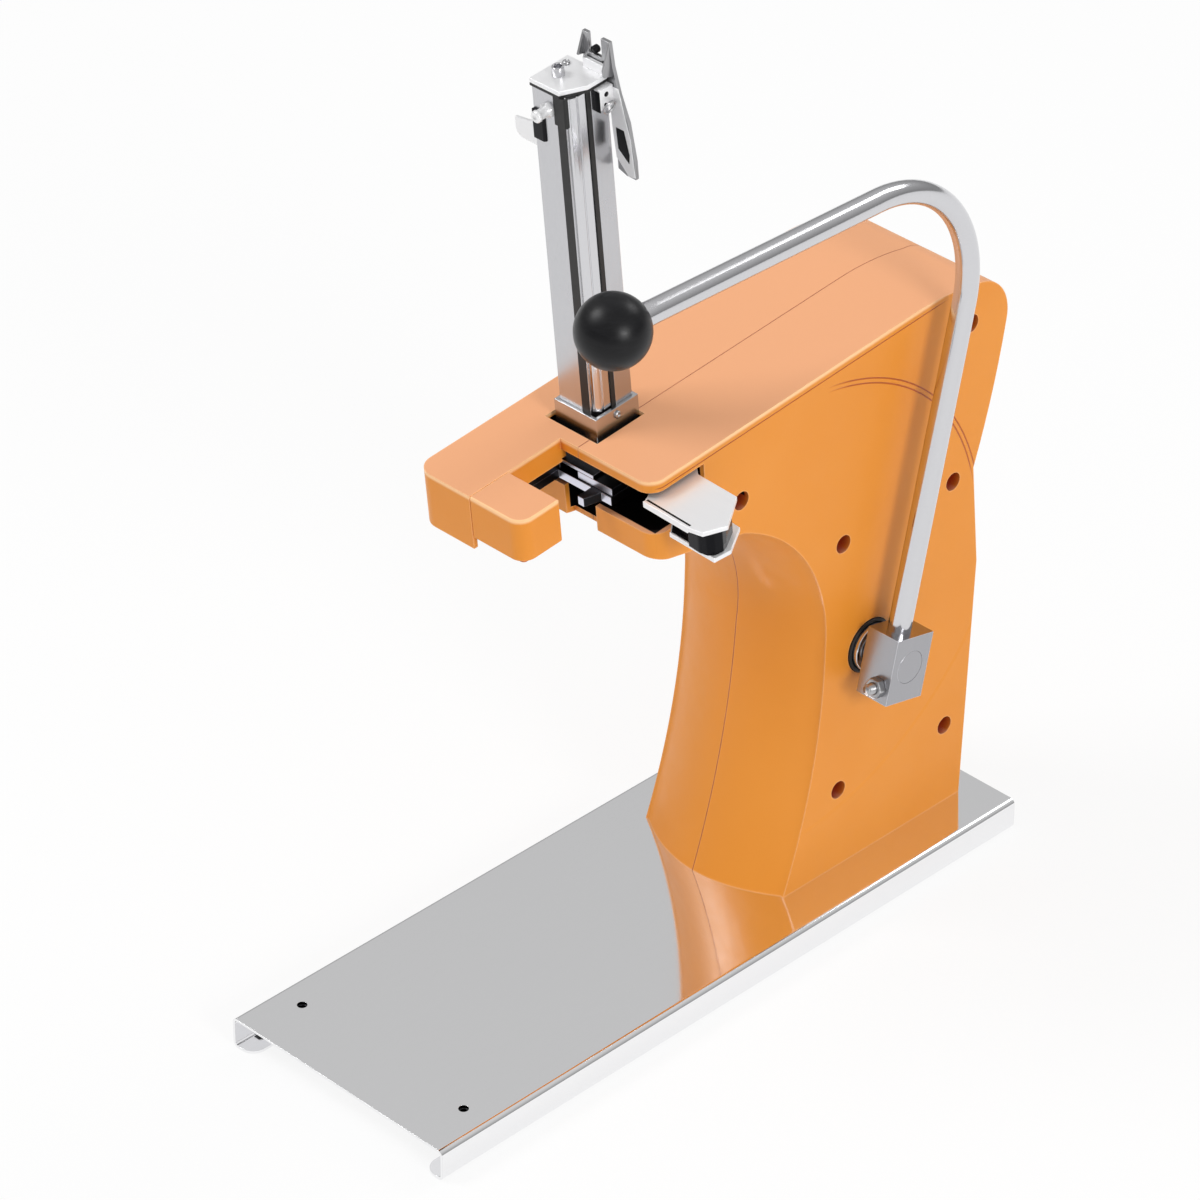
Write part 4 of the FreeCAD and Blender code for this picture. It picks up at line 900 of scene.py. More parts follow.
@dataclass
class Base:
    """Folded sheet base, its screws and dark nuts under its two front holes, whose closed bores
    give the holes painted shade.
    """

    carried: tuple = (("base_plate", MIRROR_STEEL, 0.35, 40.0), ("base_screws", ZINC, 0.4))
    nut_places: tuple = ((-57.7, -174.3, 0.0), (57.7, -174.3, 0.0))
    nut_rings: tuple = ((0.0, 11.6), (3.6, 11.6, 6), (4.0, 12.2, 6), (4.0, 16.4, 6),
                        (2.45, 16.4), (2.1, 15.8), (2.1, 12.4), (0.0, 12.4))

    def build(self) -> None:
        """Dress the base plate and its screws."""
        CARRY.dress_all(self.carried)
        self.nuts()

    def nuts(self) -> None:
        """Dark nuts under the two front holes: six-sided outside, with a closed dark bore that is
        painted shade in the holes.
        """
        shape = Shape(ROW)
        for place in self.nut_places:
            shape.turned(self.nut_rings, place, Axis.Z, 24)
        item = shape.piece("clinch_nuts", DARK_STEEL, "frame")


@dataclass
class Covers:
    """Painted covers of column, head and jaw, with the screws in their recesses."""

    carried: tuple = (("left_shell", ORANGE, 1.8, 38.0), ("right_shell", ORANGE, 1.8, 38.0),
                      ("jaw_cover", ORANGE, 0.9, 38.0))
    screw_radius: float = 4.4
    screw_high: float = 2.6
    shank: float = 2.1
    socket: float = 2.1
    recesses: tuple = ((166.9, 255.8), (93.5, 196.8), (13.6, 197.2), (13.2, 48.3), (92.6, 47.6),
                       (4.4, 285.6))
    floors: tuple = (-36.0, 32.0)

    def build(self) -> None:
        """Dress the covers and put a round-headed screw in each recess."""
        CARRY.dress_all(self.carried)
        self.screws()

    def screws(self) -> None:
        """Screws turned about X: flat underside, domed top and a six-sided socket."""
        shape = Shape(BODY)
        wide, top, socket = self.screw_radius, self.screw_high, self.socket
        rings = ((0.0, -6.0), (self.shank, -6.0), (self.shank, 0.0), (wide - 0.2, 0.0),
                 (wide, 0.2), (wide, top - 1.1), (wide - 0.5, top - 0.4), (wide - 1.4, top),
                 (socket, top, 6), (socket, top - 1.5, 6), (0.0, top - 1.5))
        for reach, rise in self.recesses:
            for side, floor in zip((-1, 1), self.floors):
                shape.turned(rings, (floor, -reach, rise), Axis.X, 24, side)
        item = shape.piece("cover_screws", ZINC, "frame")
        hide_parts("shell_screws")


@dataclass
class Lever:
    """Shaft, block, clamp screw, bent rod and ball of the hand lever."""

    carried: tuple = (("lever_shaft", MACHINED, 0.35), ("lever_block", MACHINED, 0.5))
    shaft_centre: tuple = (0.0, -72.7, 126.9)
    rim_face: float = 49.0
    side: float = 67.0
    rod_radius: float = 6.0
    rod_offset: float = 1.6
    seat: float = 10.5
    rise: float = 278.2
    reach: float = 259.6
    bend: float = 68.0
    turn: float = 101.6
    ball: float = 18.4
    ball_opening: float = 24.0
    parting: tuple = (0.14, 0.2, 0.22)
    clamp: tuple = (70.0, -11.0)
    block_front: float = -13.3
    nut_half: float = 4.76
    nut_levels: tuple = ((3.3, 0.0), (5.1, 0.0), (9.0, 0.55), (9.0, 3.95), (5.0, 4.5), (3.4, 4.5),
                         (3.05, 4.1))
    screw_long: float = 9.4
    screw_core: float = 2.62
    thread_high: float = 0.36
    pitch: float = 1.0
    screw_steps: int = 48

    def build(self) -> None:
        """Dress the shaft and block, and shape the rod, the ball and the clamp screw."""
        CARRY.dress_all(self.carried)
        self.collar()
        self.rod()
        self.knob()
        self.clamp_screw()

    def collar(self) -> None:
        """Black ring in the cover's hole and the polished boss inside it, both turned about X."""
        low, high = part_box("shaft_ring")
        inner, outer, face = low.x / MM, high.x / MM, self.rim_face
        rim = ((13.2, inner), (15.0, inner), (15.0, face + 0.6), (14.5, face + 1.0),
               (13.6, face + 1.0), (13.2, face + 0.6), (13.2, inner))
        shape = Shape(BODY).turned(rim, self.shaft_centre, Axis.X, 64)
        item = shape.piece("shaft_rim", BLACK_MATTE, "frame")
        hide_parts("shaft_ring")
        boss = ((9.1, inner), (13.0, inner), (13.0, outer - 2.0), (12.2, outer - 1.2),
                (9.7, outer - 1.2), (9.1, outer - 1.8), (9.1, inner))
        shape = Shape(BODY).turned(boss, self.shaft_centre, Axis.X, 64)
        item = shape.piece("shaft_boss", POLISHED, "frame")

    def ahead(self) -> np.ndarray:
        """Direction of the rod after its bend."""
        turn = math.radians(self.turn)
        return np.array((0.0, -math.sin(turn), math.cos(turn)))

    def course(self) -> np.ndarray:
        """Centre line: straight up, an arc of the bend's radius, straight on to the ball.

        Returns:
            Points in the lever's frame.
        """
        turn = math.radians(self.turn)
        tangent = self.bend * math.tan(turn / 2.0)
        start = self.rise - tangent
        angles = np.linspace(0.0, turn, 49)
        arc = np.stack((np.full_like(angles, self.side),
                        -self.rod_offset - self.bend * (1.0 - np.cos(angles)),
                        start + self.bend * np.sin(angles)), axis=1)
        low = np.linspace(self.seat, start, 12, endpoint=False)
        lower = np.stack((np.full_like(low, self.side), np.full_like(low, -self.rod_offset), low),
                         axis=1)
        run = np.linspace(0.0, self.reach - tangent - 0.62 * self.ball, 12)[1:]
        return np.concatenate((lower, arc, arc[-1] + run[:, None] * self.ahead()))

    def rod(self) -> None:
        """Bar carried along its centre line, closed just above its seat and inside the ball."""
        path = self.course()
        foot = path[:1] + np.array((0.0, 0.0, 0.01))
        end = path[-1:] + 0.001 * (path[-1:] - path[-2:-1])
        path = np.concatenate((path[:1], foot, path[1:], end))
        shape = Shape(LEVER).swept(path, wire_radii(len(path), self.rod_radius), 40)
        item = shape.piece("lever_bar", POLISHED, "lever")
        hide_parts("lever_rod")

    def knob(self) -> None:
        """Ball turned about the bar's end: a sphere with a flat, a neck and a parting line."""
        ahead = self.ahead()
        centre = np.array((self.side, -self.rod_offset, self.rise)) + self.reach * ahead
        opening = math.radians(self.ball_opening)
        spread = np.linspace(opening, math.pi, 40)
        heights = -self.ball * np.cos(spread)
        deep, place, wide = self.parting
        radii = self.ball * np.sin(spread) - deep * np.exp(-((heights - place) / wide) ** 2)
        neck = -self.ball * math.cos(opening)
        rings = [(self.rod_radius + 0.06, neck + 6.0), (self.rod_radius + 0.06, neck - 0.6),
                 (self.rod_radius + 0.4, neck - 0.9), (radii[0] - 0.8, neck - 0.9),
                 (radii[0] - 0.25, neck - 0.6), *zip(radii, heights)]
        rings[-1] = (0.0, self.ball)
        side = np.array((1.0, 0.0, 0.0))
        shape = Shape(LEVER).turned(rings, centre, (side, np.cross(ahead, side), ahead), 64)
        item = shape.piece("ball_handle", BLACK_GLOSS, "lever")
        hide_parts("ball_knob")

    def around(self, angles: np.ndarray, radii: np.ndarray, heights: np.ndarray) -> Shape:
        """Surface round the clamp screw's line: a radius for each row and angle.

        Args:
            angles: angles in radians.
            radii: array of rows and angles.
            heights: place of each row along the line.

        Returns:
            A shape that holds the surface.
        """
        across, up = self.clamp
        shape = Shape(LEVER)
        shape.grid(np.stack((across + radii * np.cos(angles), np.broadcast_to(heights, radii.shape),
                             up + radii * np.sin(angles)), axis=-1), closed=True)
        return shape

    def clamp_screw(self) -> None:
        """Six-sided nut with turned corners, and a screw whose radius follows a helix."""
        angles = np.linspace(0.0, FULL_TURN, self.screw_steps, endpoint=False)
        levels = np.array(self.nut_levels)
        radii = np.minimum(Ring(self.nut_half, 0.0, 6).reach(angles)[None], levels[:, :1])
        nut = self.around(angles, radii, self.block_front - levels[:, 1:])
        item = nut.piece("hex_nut", ZINC, "lever")
        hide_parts("clamp_nut")
        rows = np.linspace(0.0, self.screw_long, 76)[:, None]
        wave = np.abs(((rows / self.pitch - angles / FULL_TURN) % 1.0) * 2.0 - 1.0)
        threads = self.screw_core + self.thread_high * wave
        threads *= np.clip((self.screw_long + 0.2 - rows) / 0.8, 0.72, 1.0)
        threads = np.concatenate((threads, np.zeros((1, len(angles)))))
        lengths = np.concatenate((rows, ((self.screw_long,),)))
        bolt = self.around(angles, threads, self.block_front + 0.4 - lengths)
        item = bolt.piece("clamp_thread", ZINC, "lever")
        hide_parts("clamp_bolt")


@dataclass
class Channel:
    """Steel plates in the head that guide the punch, and what stands on them."""

    carried: tuple = (
        ("c_frame", DARK_GROUND, 0.35), ("guide_rail_left", DARK_GROUND, 0.35),
        ("guide_rail_right", DARK_GROUND, 0.35), ("guide_cover", DARK_GROUND, 0.35),
        ("die_block", POLISHED, 0.35), ("punch_blade", DARK_GROUND, 0.2),
        ("punch_slider", MACHINED, 0.3), ("slider_pin", POLISHED, 0.3),
        ("jaw_standoffs", ZINC, 0.3), ("guide_screws", DARK_STEEL, 0.4))

    def build(self) -> None:
        """Dress plates, rails, die and punch."""
        CARRY.dress_all(self.carried)


@dataclass
class Mechanism:
    """Frame inside the covers, with bushes, crank, link and return spring."""

    carried: tuple = (
        ("side_plate_left", BRUSHED_X, 0.4), ("side_plate_right", BRUSHED_X, 0.4),
        ("frame_foot_left", BRUSHED_X, 0.4), ("frame_foot_right", BRUSHED_X, 0.4),
        ("frame_spacers", BRUSHED_X, 0.4), ("shaft_bush_left", BRONZE, 0.4),
        ("shaft_bush_right", BRONZE, 0.4), ("crank_arm", MACHINED, 0.4),
        ("connecting_link", MACHINED, 0.4), ("crank_pin", POLISHED, 0.3))
    wire: float = 1.1
    turn_gap: float = 0.25

    def build(self) -> None:
        """Dress the inner parts and wind the spring."""
        CARRY.dress_all(self.carried)
        self.spring()

    def spring(self) -> None:
        """Torsion spring: a wire whose centre runs round the shaft as it moves along it."""
        low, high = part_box("return_spring")
        middle = 0.5 * (low + high) / MM
        wire = self.wire
        radius = (high.z - low.z) / MM / 2.0 - wire
        turns = int((high.x - low.x) / MM / (2.0 * wire + self.turn_gap))
        angles = np.linspace(0.0, FULL_TURN * turns, 28 * turns)
        along = np.linspace(low.x / MM + wire, high.x / MM - wire, len(angles))
        path = np.stack((along, middle.y + radius * np.cos(angles),
                         middle.z + radius * np.sin(angles)), axis=1)
        shape = Shape(ROW).swept(path, wire_radii(len(path), wire), 12)
        item = shape.piece("torsion_spring", DARK_STEEL, "frame")
        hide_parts("return_spring")


@dataclass
class GatheringArm:
    """Swinging plates at the right of the head, with the web, the hems and the pin."""

    carried: tuple = (("gather_plate_upper", BRIGHT_SHEET, 0.45),)
    pin: tuple = (34.0, -4.0)
    hook_radius: float = 3.8
    plate_levels: tuple = (-27.7, -25.3)
    plate_before: tuple = ((26.0, -9.0), (46.5, -27.0), (56.0, -38.4), (86.7, -39.4),
                           (87.9, -30.0), (78.7, -14.4), (50.0, -12.0), (43.0, -6.0),
                           (41.0, 2.0), (37.8, 3.6))
    plate_after: tuple = ((30.2, 4.0), (28.0, 4.0))
    shade_sheet_levels: tuple = (-25.35, -25.1)
    shade_sheet: tuple = ((47.5, -27.0), (56.5, -37.9), (82.0, -38.9), (84.6, -37.0), (85.2, -33.0),
                     (83.8, -29.4), (78.4, -19.9), (52.0, -17.0))
    web_levels: tuple = (-25.2, -11.5)
    web_thick: float = 1.2
    web_route: tuple = ((70.5, -40.6), (78.0, -41.2), (82.6, -40.4), (85.2, -37.6),
                        (86.0, -33.0), (84.6, -29.2), (79.0, -19.5))
    hems: tuple = (
        ("hem_gap", DARK_STEEL, 0.0, (-9.3, -8.96),
         ((45.7, -42.7), (75.6, -44.0), (75.7, -42.9), (45.9, -41.6))),
        ("hem_lip", BRIGHT_SHEET, 0.3, (-12.4, -8.9),
         ((45.0, -44.4), (75.6, -45.6), (75.6, -43.9), (45.2, -42.7))),
        ("lower_hem", BRIGHT_SHEET, 0.2, (-27.8, -25.05),
         ((56.0, -39.0), (86.3, -40.0), (86.8, -39.2), (56.2, -38.2))))
    pin_levels: tuple = (-29.3, -7.2)

    def build(self) -> None:
        """Dress the upper plate, and shape the lower one, the web, the hems and the pin."""
        CARRY.dress_all(self.carried)
        self.lower()
        self.web()
        self.hem()
        self.pivot()

    def lower(self) -> None:
        """Lower plate, hooked round the pin, and a black sheet on it inside the web: painted shade
        and dark reflection under the upper plate.
        """
        along, across = self.pin
        hook = [(along + self.hook_radius * math.cos(angle),
                 across - self.hook_radius * math.sin(angle))
                for angle in np.linspace(0.0, math.pi, 13)]
        shape = Shape(HEAD).prism([*self.plate_before, *hook, *self.plate_after],
                                  *self.plate_levels)
        item = shape.piece("arm_lower_plate", BRIGHT_SHEET, "gathering_arm", 0.3)
        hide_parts("gather_plate_lower")
        shape = Shape(HEAD).prism(self.shade_sheet, *self.shade_sheet_levels)
        item = shape.piece("arm_lining", SHADED_SHEET, "gathering_arm")

    def web(self) -> None:
        """Bent sheet between the plates: a strip carried round their outer corner."""
        route = np.array(self.web_route)
        base = np.arange(len(route))
        steps = np.linspace(0.0, len(route) - 1.0, 37)
        smooth = np.stack([np.interp(steps, base, route[:, part]) for part in (0, 1)], axis=1)
        along = np.gradient(smooth, axis=0)
        along /= np.linalg.norm(along, axis=1)[:, None]
        side = np.stack((-along[:, 1], along[:, 0]), axis=1)
        outline = np.concatenate((smooth, (smooth + self.web_thick * side)[::-1]))
        shape = Shape(HEAD).prism(outline, *self.web_levels)
        # The web is given the dark copy of the sheet finish: painted shade on its inner face.
        item = shape.piece("bent_web", SHADED_SHEET, "gathering_arm", 0.2)
        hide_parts("gather_web")

    def hem(self) -> None:
        """Folded hems: a dark line of painted shadow where the hem bends and a lip along the upper
        plate's front edge, a lip below.
        """
        for name, finish, edge, levels, outline in self.hems:
            item = Shape(HEAD).prism(outline, *levels).piece(name, finish, "gathering_arm", edge)

    def pivot(self) -> None:
        """Pin turned about Z, with a rounded head above and a clip ring below."""
        low, high = self.pin_levels
        rings = ((0.0, low), (3.3, low), (3.5, low + 0.2), (5.5, low + 0.2), (5.5, low + 1.5),
                 (3.5, low + 1.5), (3.5, high - 1.7), (5.5, high - 1.7), (5.5, high - 0.6),
                 (4.8, high - 0.1), (1.2, high), (0.9, high - 0.7), (0.0, high - 0.7))
        shape = Shape(HEAD).turned(rings, (*self.pin, 0.0), Axis.Z)
        item = shape.piece("arm_rivet", ZINC, "frame")
        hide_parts("arm_pivot_pin")


@dataclass
class Magazine:
    """Upright clip magazine on the head with its cap, post, pusher and clips."""

    carried: tuple = (
        ("magazine_foot", BRUSHED_X, 0.3), ("magazine_front_channel", BRUSHED_Z, 0.3),
        ("magazine_rear_channel", BRUSHED_Z, 0.3), ("clip_pusher", DARK_STEEL, 0.5))
    left: float = -24.8
    wide: float = 24.5
    front: float = -28.5
    deep: float = 24.5
    floor: float = -12.6
    top: float = 188.0
    cap: float = 4.0
    rail: tuple = ((-6.3, -25.8), (-3.6, -27.0), (-2.4, -26.5), (-1.3, -24.6), (-1.1, -23.3),
                   (-1.7, -22.8), (-1.7, -22.3), (-1.0, -22.0), (-1.0, -17.6), (-1.8, -17.6),
                   (-1.8, -21.6), (-6.3, -22.4))
    front_strip: tuple = ((-9.4, -28.6), (-3.9, -28.6), (-3.9, -26.9), (-4.4, -26.9),
                          (-4.4, -28.1), (-9.4, -28.1))
    side_strip: tuple = rectangle(-0.95, -17.4, -0.35, -14.7)
    top_strip: tuple = ((-10.6, -29.1), (-3.7, -29.1), (-3.0, -28.3), (-3.0, -26.4),
                        (-4.0, -26.4), (-4.0, -28.0), (-10.6, -28.0))
    tab_sides: tuple = (-43.0, -16.8)
    tab_levels: tuple = (151.0, 163.0)
    tab_corner: float = 5.0
    tab_sheet: tuple = (-24.6, -23.1)
    tab_root: tuple = rectangle(-21.8, -24.6, -16.8, -21.0)
    tab_root_levels: tuple = (152.0, 161.0)
    pin_rings: tuple = ((0.0, 0.0), (3.5, 0.0, 6), (3.5, -2.4, 6), (2.7, -2.6), (2.7, -7.4),
                        (3.1, -7.6), (3.1, -9.0), (2.6, -9.6), (1.3, -9.8), (1.0, -9.0),
                        (0.0, -9.0))
    post_rings: tuple = ((0.0, 0.0), (3.1, 0.0), (3.1, 4.4), (2.7, 4.8), (2.2, 4.8), (1.9, 4.6),
                         (1.9, 0.8), (0.0, 0.8))
    clip_wide: float = 11.0
    clip_deep: float = 14.0
    clip_corner: float = 2.5
    clip_gap: float = 0.1
    clip_middle: float = -7.8
    clip_levels: tuple = (-12.2, 35.0)
    wire: float = 1.0

    @property
    def right(self) -> float:
        """Right side of the magazine."""
        return self.left + self.wide

    @property
    def rear(self) -> float:
        """Back of the magazine."""
        return self.front + self.deep

    def build(self) -> None:
        """Dress the channels, the foot and the pusher, and shape the rest."""
        CARRY.dress_all(self.carried)
        self.cap_plate()
        self.corner()
        self.tab()
        self.front_pin()
        self.post()
        self.screws()
        self.clips()

    def corner(self) -> None:
        """Drawn corner rail in two steps, and the black strips that line the open corner."""
        shape = Shape(HEAD).prism(self.rail, self.floor, self.top)
        item = shape.piece("drawn_rail", POLISHED, "frame", 0.25, 20.0)
        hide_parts("magazine_rail")
        strips = Shape(HEAD).prism(self.front_strip, self.floor + 14.0, self.top)
        strips.prism(self.side_strip, self.floor, self.top)
        strips.prism(self.top_strip, self.top - 15.5, self.top + 0.4)
        item = strips.piece("corner_strips", BLACK_MATTE, "frame", 0.2)

    def cap_plate(self) -> None:
        """Bright plate with a cut corner and a low upturned ear, on a dark sheet of the same
        outline that shows as a dark band along its edges.
        """
        left, front, right, rear = self.left - 0.7, self.front - 0.6, self.right, self.rear
        face = self.top + self.cap
        outline = ((left, front), (right - 6.0, front), (right + 0.6, self.front + 12.0),
                   (right + 0.6, rear), (left, rear))
        plate = Shape(HEAD).prism(outline, self.top + 1.5, face)
        plate.prism(rectangle(right - 12.9, rear - 2.2, right + 1.2, rear), face - 0.2, face + 5.0)
        item = plate.piece("cap_plate", BRIGHT_SHEET, "frame", 0.3)
        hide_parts("magazine_cap")
        underlay = Shape(HEAD).prism(outline, self.top, self.top + 1.6)
        item = underlay.piece("cap_packing", BLACK_MATTE, "frame", 0.15)

    def tab(self) -> None:
        """Thumb tab of the pusher: a thin sheet with rounded lower corner, and its root."""
        (left, right), (foot, head), radius = self.tab_sides, self.tab_levels, self.tab_corner
        turn = np.linspace(0.0, 0.5 * math.pi, 9)
        arc = zip(foot + radius - radius * np.sin(turn), left + radius - radius * np.cos(turn))
        outline = [(head - 1.5, left), *arc, (foot, right), (head + 2.5, right),
                   (head + 2.5, left + 14.0), (head, left + 10.0)]
        shape = Shape(HEAD).prism(outline, *self.tab_sheet, Axis.Y)
        shape.prism(self.tab_root, *self.tab_root_levels)
        item = shape.piece("thumb_tab", BRIGHT_SHEET, "pusher", 0.3)
        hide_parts("pusher_tab")

    def front_pin(self) -> None:
        """Spring pin turned about Y, with nut, barrel and domed end, and the tab's dark guide."""
        left, top = self.left, self.top
        shape = Shape(HEAD).turned(self.pin_rings, (left + 11.0, self.front, top - 8.5), Axis.Y, 36)
        item = shape.piece("spring_pin", BRIGHT_SHEET, "frame")
        guide = ((left, -29.9), (left + 6.5, -29.9), (left + 7.5, -28.9), (left + 7.5, -28.4),
                 (left, -28.4))
        shape = Shape(HEAD).prism(guide, top - 28.0, top - 12.0)
        item = shape.piece("tab_guide", DARK_STEEL, "frame", 0.3)

    def post(self) -> None:
        """Hollow post turned about Z: chamfered outside, bored from the top."""
        centre = (self.left + 8.0, self.front + 10.0, self.top + self.cap)
        item = Shape(HEAD).turned(self.post_rings, centre, Axis.Z).piece("hollow_post", POLISHED,
                                                                         "frame")
        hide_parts("magazine_post")

    def screws(self) -> None:
        """Small round-headed screws with a socket, on the cap, the foot and the front."""
        places = (((self.left + 4.0, self.front + 19.0, self.top + self.cap), Axis.Z, 1.0, 1.5),
                  ((self.right + 2.0, self.front + 12.0, 6.0), Axis.X, 1.0, 1.2),
                  ((self.left + 4.0, self.front, 4.0), Axis.Y, -1.0, 1.2))
        shape = Shape(HEAD)
        for centre, axis, sense, high in places:
            rings = ((0.0, 0.0), (2.0, 0.0), (2.0, 0.5 * high), (1.6, 0.85 * high), (1.2, high),
                     (0.8, high, 6), (0.8, 0.45 * high, 6), (0.0, 0.45 * high))
            shape.turned(rings, centre, axis, 24, sense)
        item = shape.piece("magazine_small_screws", ZINC, "frame")
        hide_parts("magazine_screws")

    def clips(self) -> None:
        """Stack of wire clips: a flat U carried round, one above the other."""
        wire, corner = self.wire, self.clip_corner
        half = self.clip_wide / 2.0 - wire
        turn = np.linspace(0.0, 0.5 * math.pi, 7)
        right = np.stack((half - corner + corner * np.sin(turn),
                          -corner + corner * np.cos(turn)), axis=1)
        right = np.concatenate((right, ((half, 2.0 * wire - self.clip_deep),)))
        flat = np.concatenate((right[::-1] * (-1.0, 1.0), right))
        flat += (self.clip_middle, self.rear - 1.8 - wire)
        flat = np.concatenate((flat[:1] - (0.0, 0.01), flat, flat[-1:] - (0.0, 0.01)))
        radii = np.full(len(flat), wire)
        radii[[1, -2]] = 0.55 * wire
        radii[[0, -1]] = 0.0
        bottom, pitch = self.clip_levels[0] + wire, 2.0 * wire + self.clip_gap
        count = int((self.clip_levels[1] - wire - bottom) / pitch) + 1
        shape = Shape(HEAD)
        for level in bottom + pitch * np.arange(count):
            shape.swept(np.column_stack((flat, np.full(len(flat), level))), radii, 10)
        item = shape.piece("wire_clips", CLIP_WIRE, "frame")
        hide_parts("clip_stack")


@dataclass
class Latch:
    """Latch plate behind the magazine, its fork, pins, side block and wire ring."""

    carried: tuple = (("latch_lever", GREY_STEEL, 0.35), ("latch_block", BRIGHT_SHEET, 0.4))
    pivot: tuple = (-1.2, 196.7)
    rear: float = -4.0
    thick: float = 2.0
    block_front: tuple = rectangle(-0.3, -12.9, 3.3, -12.5)
    block_levels: tuple = (176.0, 187.0)
    openings: tuple = ((-8.6, 184.6, 1.3), (-9.6, 179.4, 0.9))
    left_cheek: tuple = ((-2.1, 190.5), (-3.9, 193.0), (-4.0, 197.5), (-8.2, 198.5),
                         (-3.4, 209.3), (-1.9, 209.3))
    right_cheek: tuple = ((-2.1, 190.5), (-8.6, 193.0), (-8.9, 196.5), (-3.4, 209.3),
                          (-1.9, 209.3))
    plate: tuple = ((186.0, 0.4), (186.0, 6.6), (160.0, 12.4), (139.6, 13.8), (138.9, 9.4),
                    (147.0, 2.2), (165.0, 0.8))
    window: tuple = ((164.0, 3.4), (164.0, 8.6), (151.5, 11.2), (146.5, 10.6), (152.5, 4.0))
    ring_centre: tuple = (4.6, -8.0, 181.0)
    ring_radius: float = 3.4
    ring_wire: float = 0.55
    ring_lean: float = 0.35

    def build(self) -> None:
        """Dress the plate and block, turn the pins and bend the wire ring."""
        CARRY.dress_all(self.carried)
        self.block_slots()
        self.fork()
        self.blade()
        self.pins()
        self.ring()

    def block_slots(self) -> None:
        """Dark front of the side block, and two thin dark discs on its outer face: painted shade
        for its two round openings.
        """
        shape = Shape(HEAD).prism(self.block_front, *self.block_levels)
        for across, up, radius in self.openings:
            shape.turned(((0.0, 0.0), (radius, 0.0), (radius, 0.3), (0.0, 0.3)),
                         (3.5, across, up), Axis.X, 20)
        item = shape.piece("block_openings", DARK_STEEL, "frame")

    def fork(self) -> None:
        """Cheeks of the fork: two leaning plates square to the latch plate, clear of the cap."""
        shape = Shape(HEAD).prism(self.left_cheek, -15.0, -13.8, Axis.X)
        shape.prism(self.right_cheek, 1.9, 3.0, Axis.X)
        item = shape.piece("fork_cheeks", GREY_STEEL, "latch", 0.25)

    def blade(self) -> None:
        """Lower end of the latch: a tapered plate, with a dark patch as painted shade where its
        window is.
        """
        shape = Shape(HEAD).prism(self.plate, -4.0, -3.4, Axis.Y)
        item = shape.piece("latch_blade", BRIGHT_SHEET, "latch", 0.2)
        shape = Shape(HEAD).prism(self.window, -4.1, -3.9, Axis.Y)
        item = shape.piece("latch_window", DARK_STEEL, "latch")

    def pins(self) -> None:
        """Pivot pin and roller turned about Y, with rounded ends."""
        across, up = self.pivot
        high = self.thick + 1.0
        shape = Shape(HEAD)
        for place, radius in (((across, self.rear, up), 1.5),
                              ((across - 6.3, self.rear, up + 5.0), 2.0)):
            shape.turned(((0.0, 0.0), (radius, 0.0), (radius, high - 0.4), (radius - 0.4, high),
                          (0.0, high)), place, Axis.Y, 24)
        item = shape.piece("latch_rivets", DARK_STEEL, "frame")
        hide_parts("latch_pins")

    def ring(self) -> None:
        """Split wire ring through the side block: a circle that leans as it turns."""
        angles = np.linspace(0.0, FULL_TURN, 49)
        across, along, up = self.ring_centre
        rise = self.ring_radius * np.sin(angles)
        path = np.stack((across + self.ring_lean * rise, along + self.ring_radius * np.cos(angles),
                         up - self.ring_radius + rise), axis=1)
        shape = Shape(HEAD).swept(path, wire_radii(len(path), self.ring_wire), 12)
        item = shape.piece("wire_ring", ZINC, "frame")


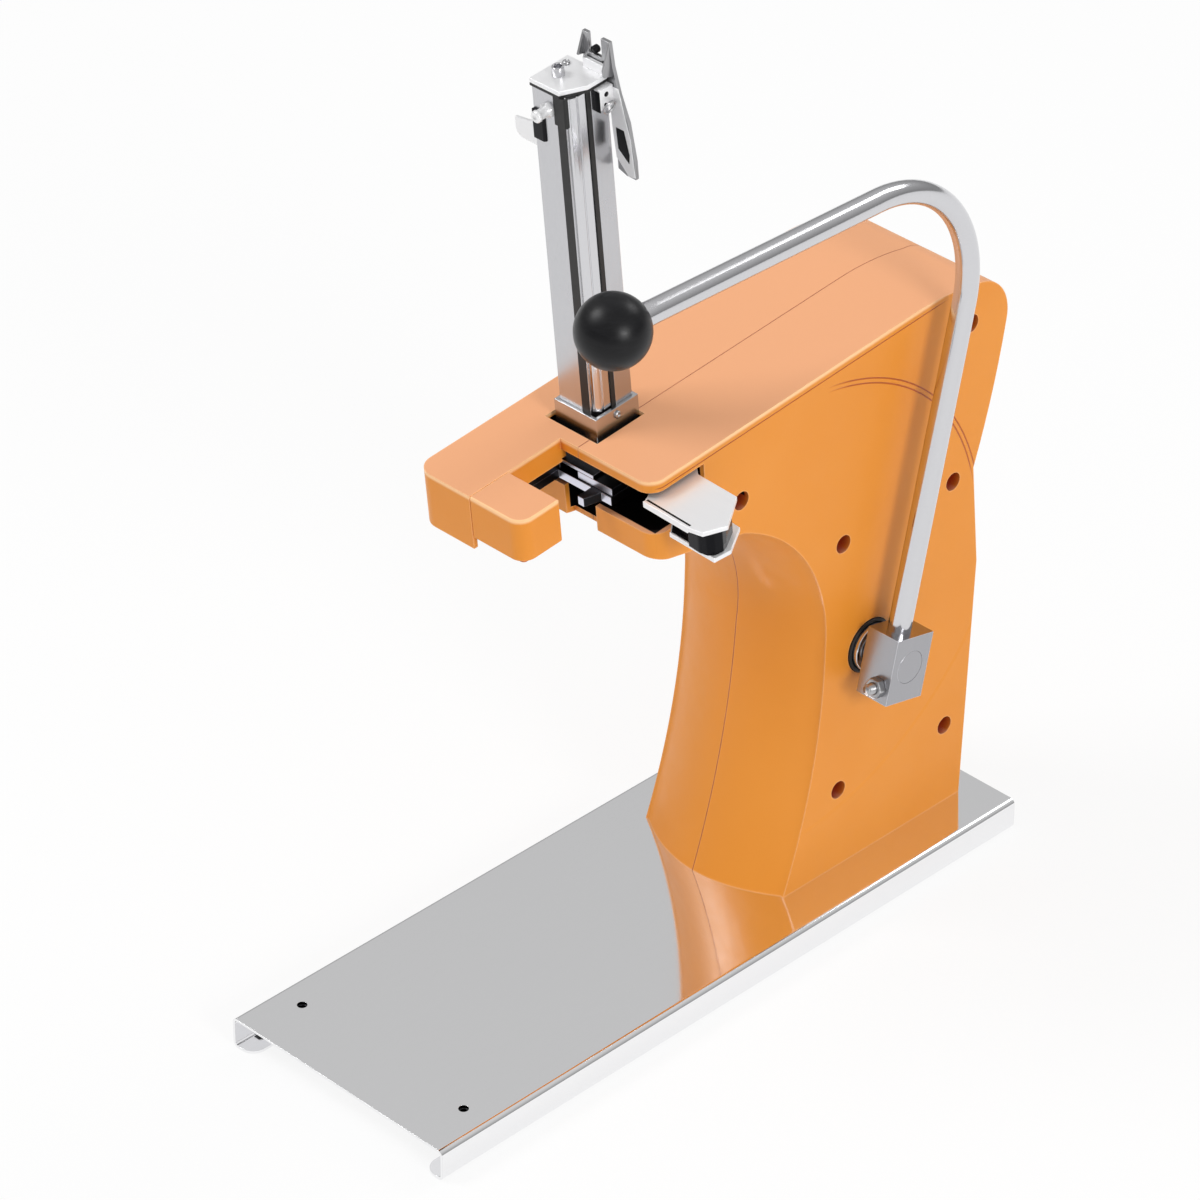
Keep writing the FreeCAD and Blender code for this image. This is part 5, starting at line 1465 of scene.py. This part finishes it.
@dataclass
class Studio:
    """Floor, lamps, world and camera. Each lamp has a name, a place, a size and a power."""

    lamps: tuple = (("key", (-1.9, -1.6, 3.2), 1.4, 56.0), ("side", (3.0, -0.6, 1.5), 1.0, 44.0),
                    ("back", (0.3, 2.8, 2.6), 1.2, 20.0))
    aim: tuple = (0.0, 0.0, 0.2)
    floor_half: float = 12.0
    floor_drop: float = -0.0004
    floor_tone: tuple = (0.86, 0.86, 0.86)
    floor_roughness: float = 0.9
    floor_glow: float = 0.84
    sky_heights: tuple = (-0.2, 0.8)
    sky_strengths: tuple = (0.22, 0.85)

    def build(self) -> None:
        """Set up everything around the object."""
        self.floor()
        self.world()
        self.lights()
        self.camera()
        bpy.context.scene.view_settings.view_transform = "Standard"

    def floor(self) -> None:
        """Pale sheet that keeps soft shadows and shows white to the camera and in metal."""
        spots = np.linspace(-self.floor_half, self.floor_half, 9)
        grid_x, grid_y = np.meshgrid(spots, spots)
        rows = np.stack((grid_x, grid_y, np.full_like(grid_x, self.floor_drop)), axis=-1)
        shape = Shape(ROW)
        shape.grid(rows / MM)
        mesh = bpy.data.meshes.new("floor")
        mesh.from_pydata(ROW.to_row(shape.points[0]).tolist(), [], shape.faces)
        item = bpy.data.objects.new("floor", mesh)
        bpy.context.scene.collection.objects.link(item)
        sheet = NodeSheet("floor_paper")
        sheet.shade("Base Color", self.floor_tone)
        sheet.shade("Roughness", self.floor_roughness)
        glow = sheet.add("ShaderNodeEmission")
        glow.inputs["Strength"].default_value = 1.0
        rays = sheet.add("ShaderNodeLightPath")
        seen = sheet.either(*(rays.outputs[f"Is {kind} Ray"]
                              for kind in ("Camera", "Glossy", "Transmission")))
        mix = sheet.add("ShaderNodeMixShader")
        sheet.link(sheet.every(seen, self.floor_glow), mix.inputs["Fac"])
        sheet.link(sheet.shader.outputs["BSDF"], mix.inputs[1])
        sheet.link(glow.outputs["Emission"], mix.inputs[2])
        sheet.link(mix.outputs["Shader"], sheet.output.inputs["Surface"])
        mesh.materials.append(sheet.material)

    def world(self) -> None:
        """White to the camera, and a plain grey that brightens upwards to everything else."""
        world = bpy.data.worlds.new("studio_world")
        bpy.context.scene.world = world
        world.use_nodes = True
        tree = world.node_tree
        tree.nodes.clear()
        output = tree.nodes.new("ShaderNodeOutputWorld")
        soft = tree.nodes.new("ShaderNodeBackground")
        white = tree.nodes.new("ShaderNodeBackground")
        white.inputs["Color"].default_value = (1.0, 1.0, 1.0, 1.0)
        place = tree.nodes.new("ShaderNodeTexCoord")
        split = tree.nodes.new("ShaderNodeSeparateXYZ")
        ramp = tree.nodes.new("ShaderNodeMapRange")
        ends = (*self.sky_heights, *self.sky_strengths)
        for name, value in zip(("From Min", "From Max", "To Min", "To Max"), ends):
            ramp.inputs[name].default_value = value
        rays = tree.nodes.new("ShaderNodeLightPath")
        mix = tree.nodes.new("ShaderNodeMixShader")
        tree.links.new(place.outputs["Generated"], split.inputs["Vector"])
        tree.links.new(split.outputs["Z"], ramp.inputs["Value"])
        tree.links.new(ramp.outputs["Result"], soft.inputs["Strength"])
        tree.links.new(rays.outputs["Is Camera Ray"], mix.inputs["Fac"])
        tree.links.new(soft.outputs["Background"], mix.inputs[1])
        tree.links.new(white.outputs["Background"], mix.inputs[2])
        tree.links.new(mix.outputs["Shader"], output.inputs["Surface"])

    def lights(self) -> None:
        """Square soft lamps, each turned to the object."""
        for name, place, size, power in self.lamps:
            lamp = bpy.data.lights.new(name, "AREA")
            lamp.size = size
            lamp.energy = power
            item = bpy.data.objects.new(name, lamp)
            item.location = Vector(place)
            line = Vector(self.aim) - item.location
            item.rotation_euler = line.to_track_quat("-Z", "Y").to_euler()
            bpy.context.scene.collection.objects.link(item)

    def camera(self) -> None:
        """Camera at the photograph's place, lens and angle."""
        lens = bpy.data.cameras.new("camera")
        lens.lens = CAMERA_LENS_MM
        lens.sensor_width = SENSOR_MM
        lens.clip_end = CAMERA_CLIP_END
        item = bpy.data.objects.new("camera", lens)
        item.location = CAMERA_PLACE
        item.rotation_euler = (CAMERA_TARGET - CAMERA_PLACE).to_track_quat("-Z", "Y").to_euler()
        bpy.context.scene.collection.objects.link(item)
        bpy.context.scene.camera = item


def main() -> None:
    """Build each sub-assembly in turn."""
    logging.basicConfig(level=logging.INFO, format="%(message)s")
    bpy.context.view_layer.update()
    for part in (Base(), Covers(), Lever(), Channel(), Mechanism(), GatheringArm(), Magazine(),
                 Latch(), Studio()):
        LOG.info("building %s", type(part).__name__)
        part.build()


if __name__ == "__main__":
    main()
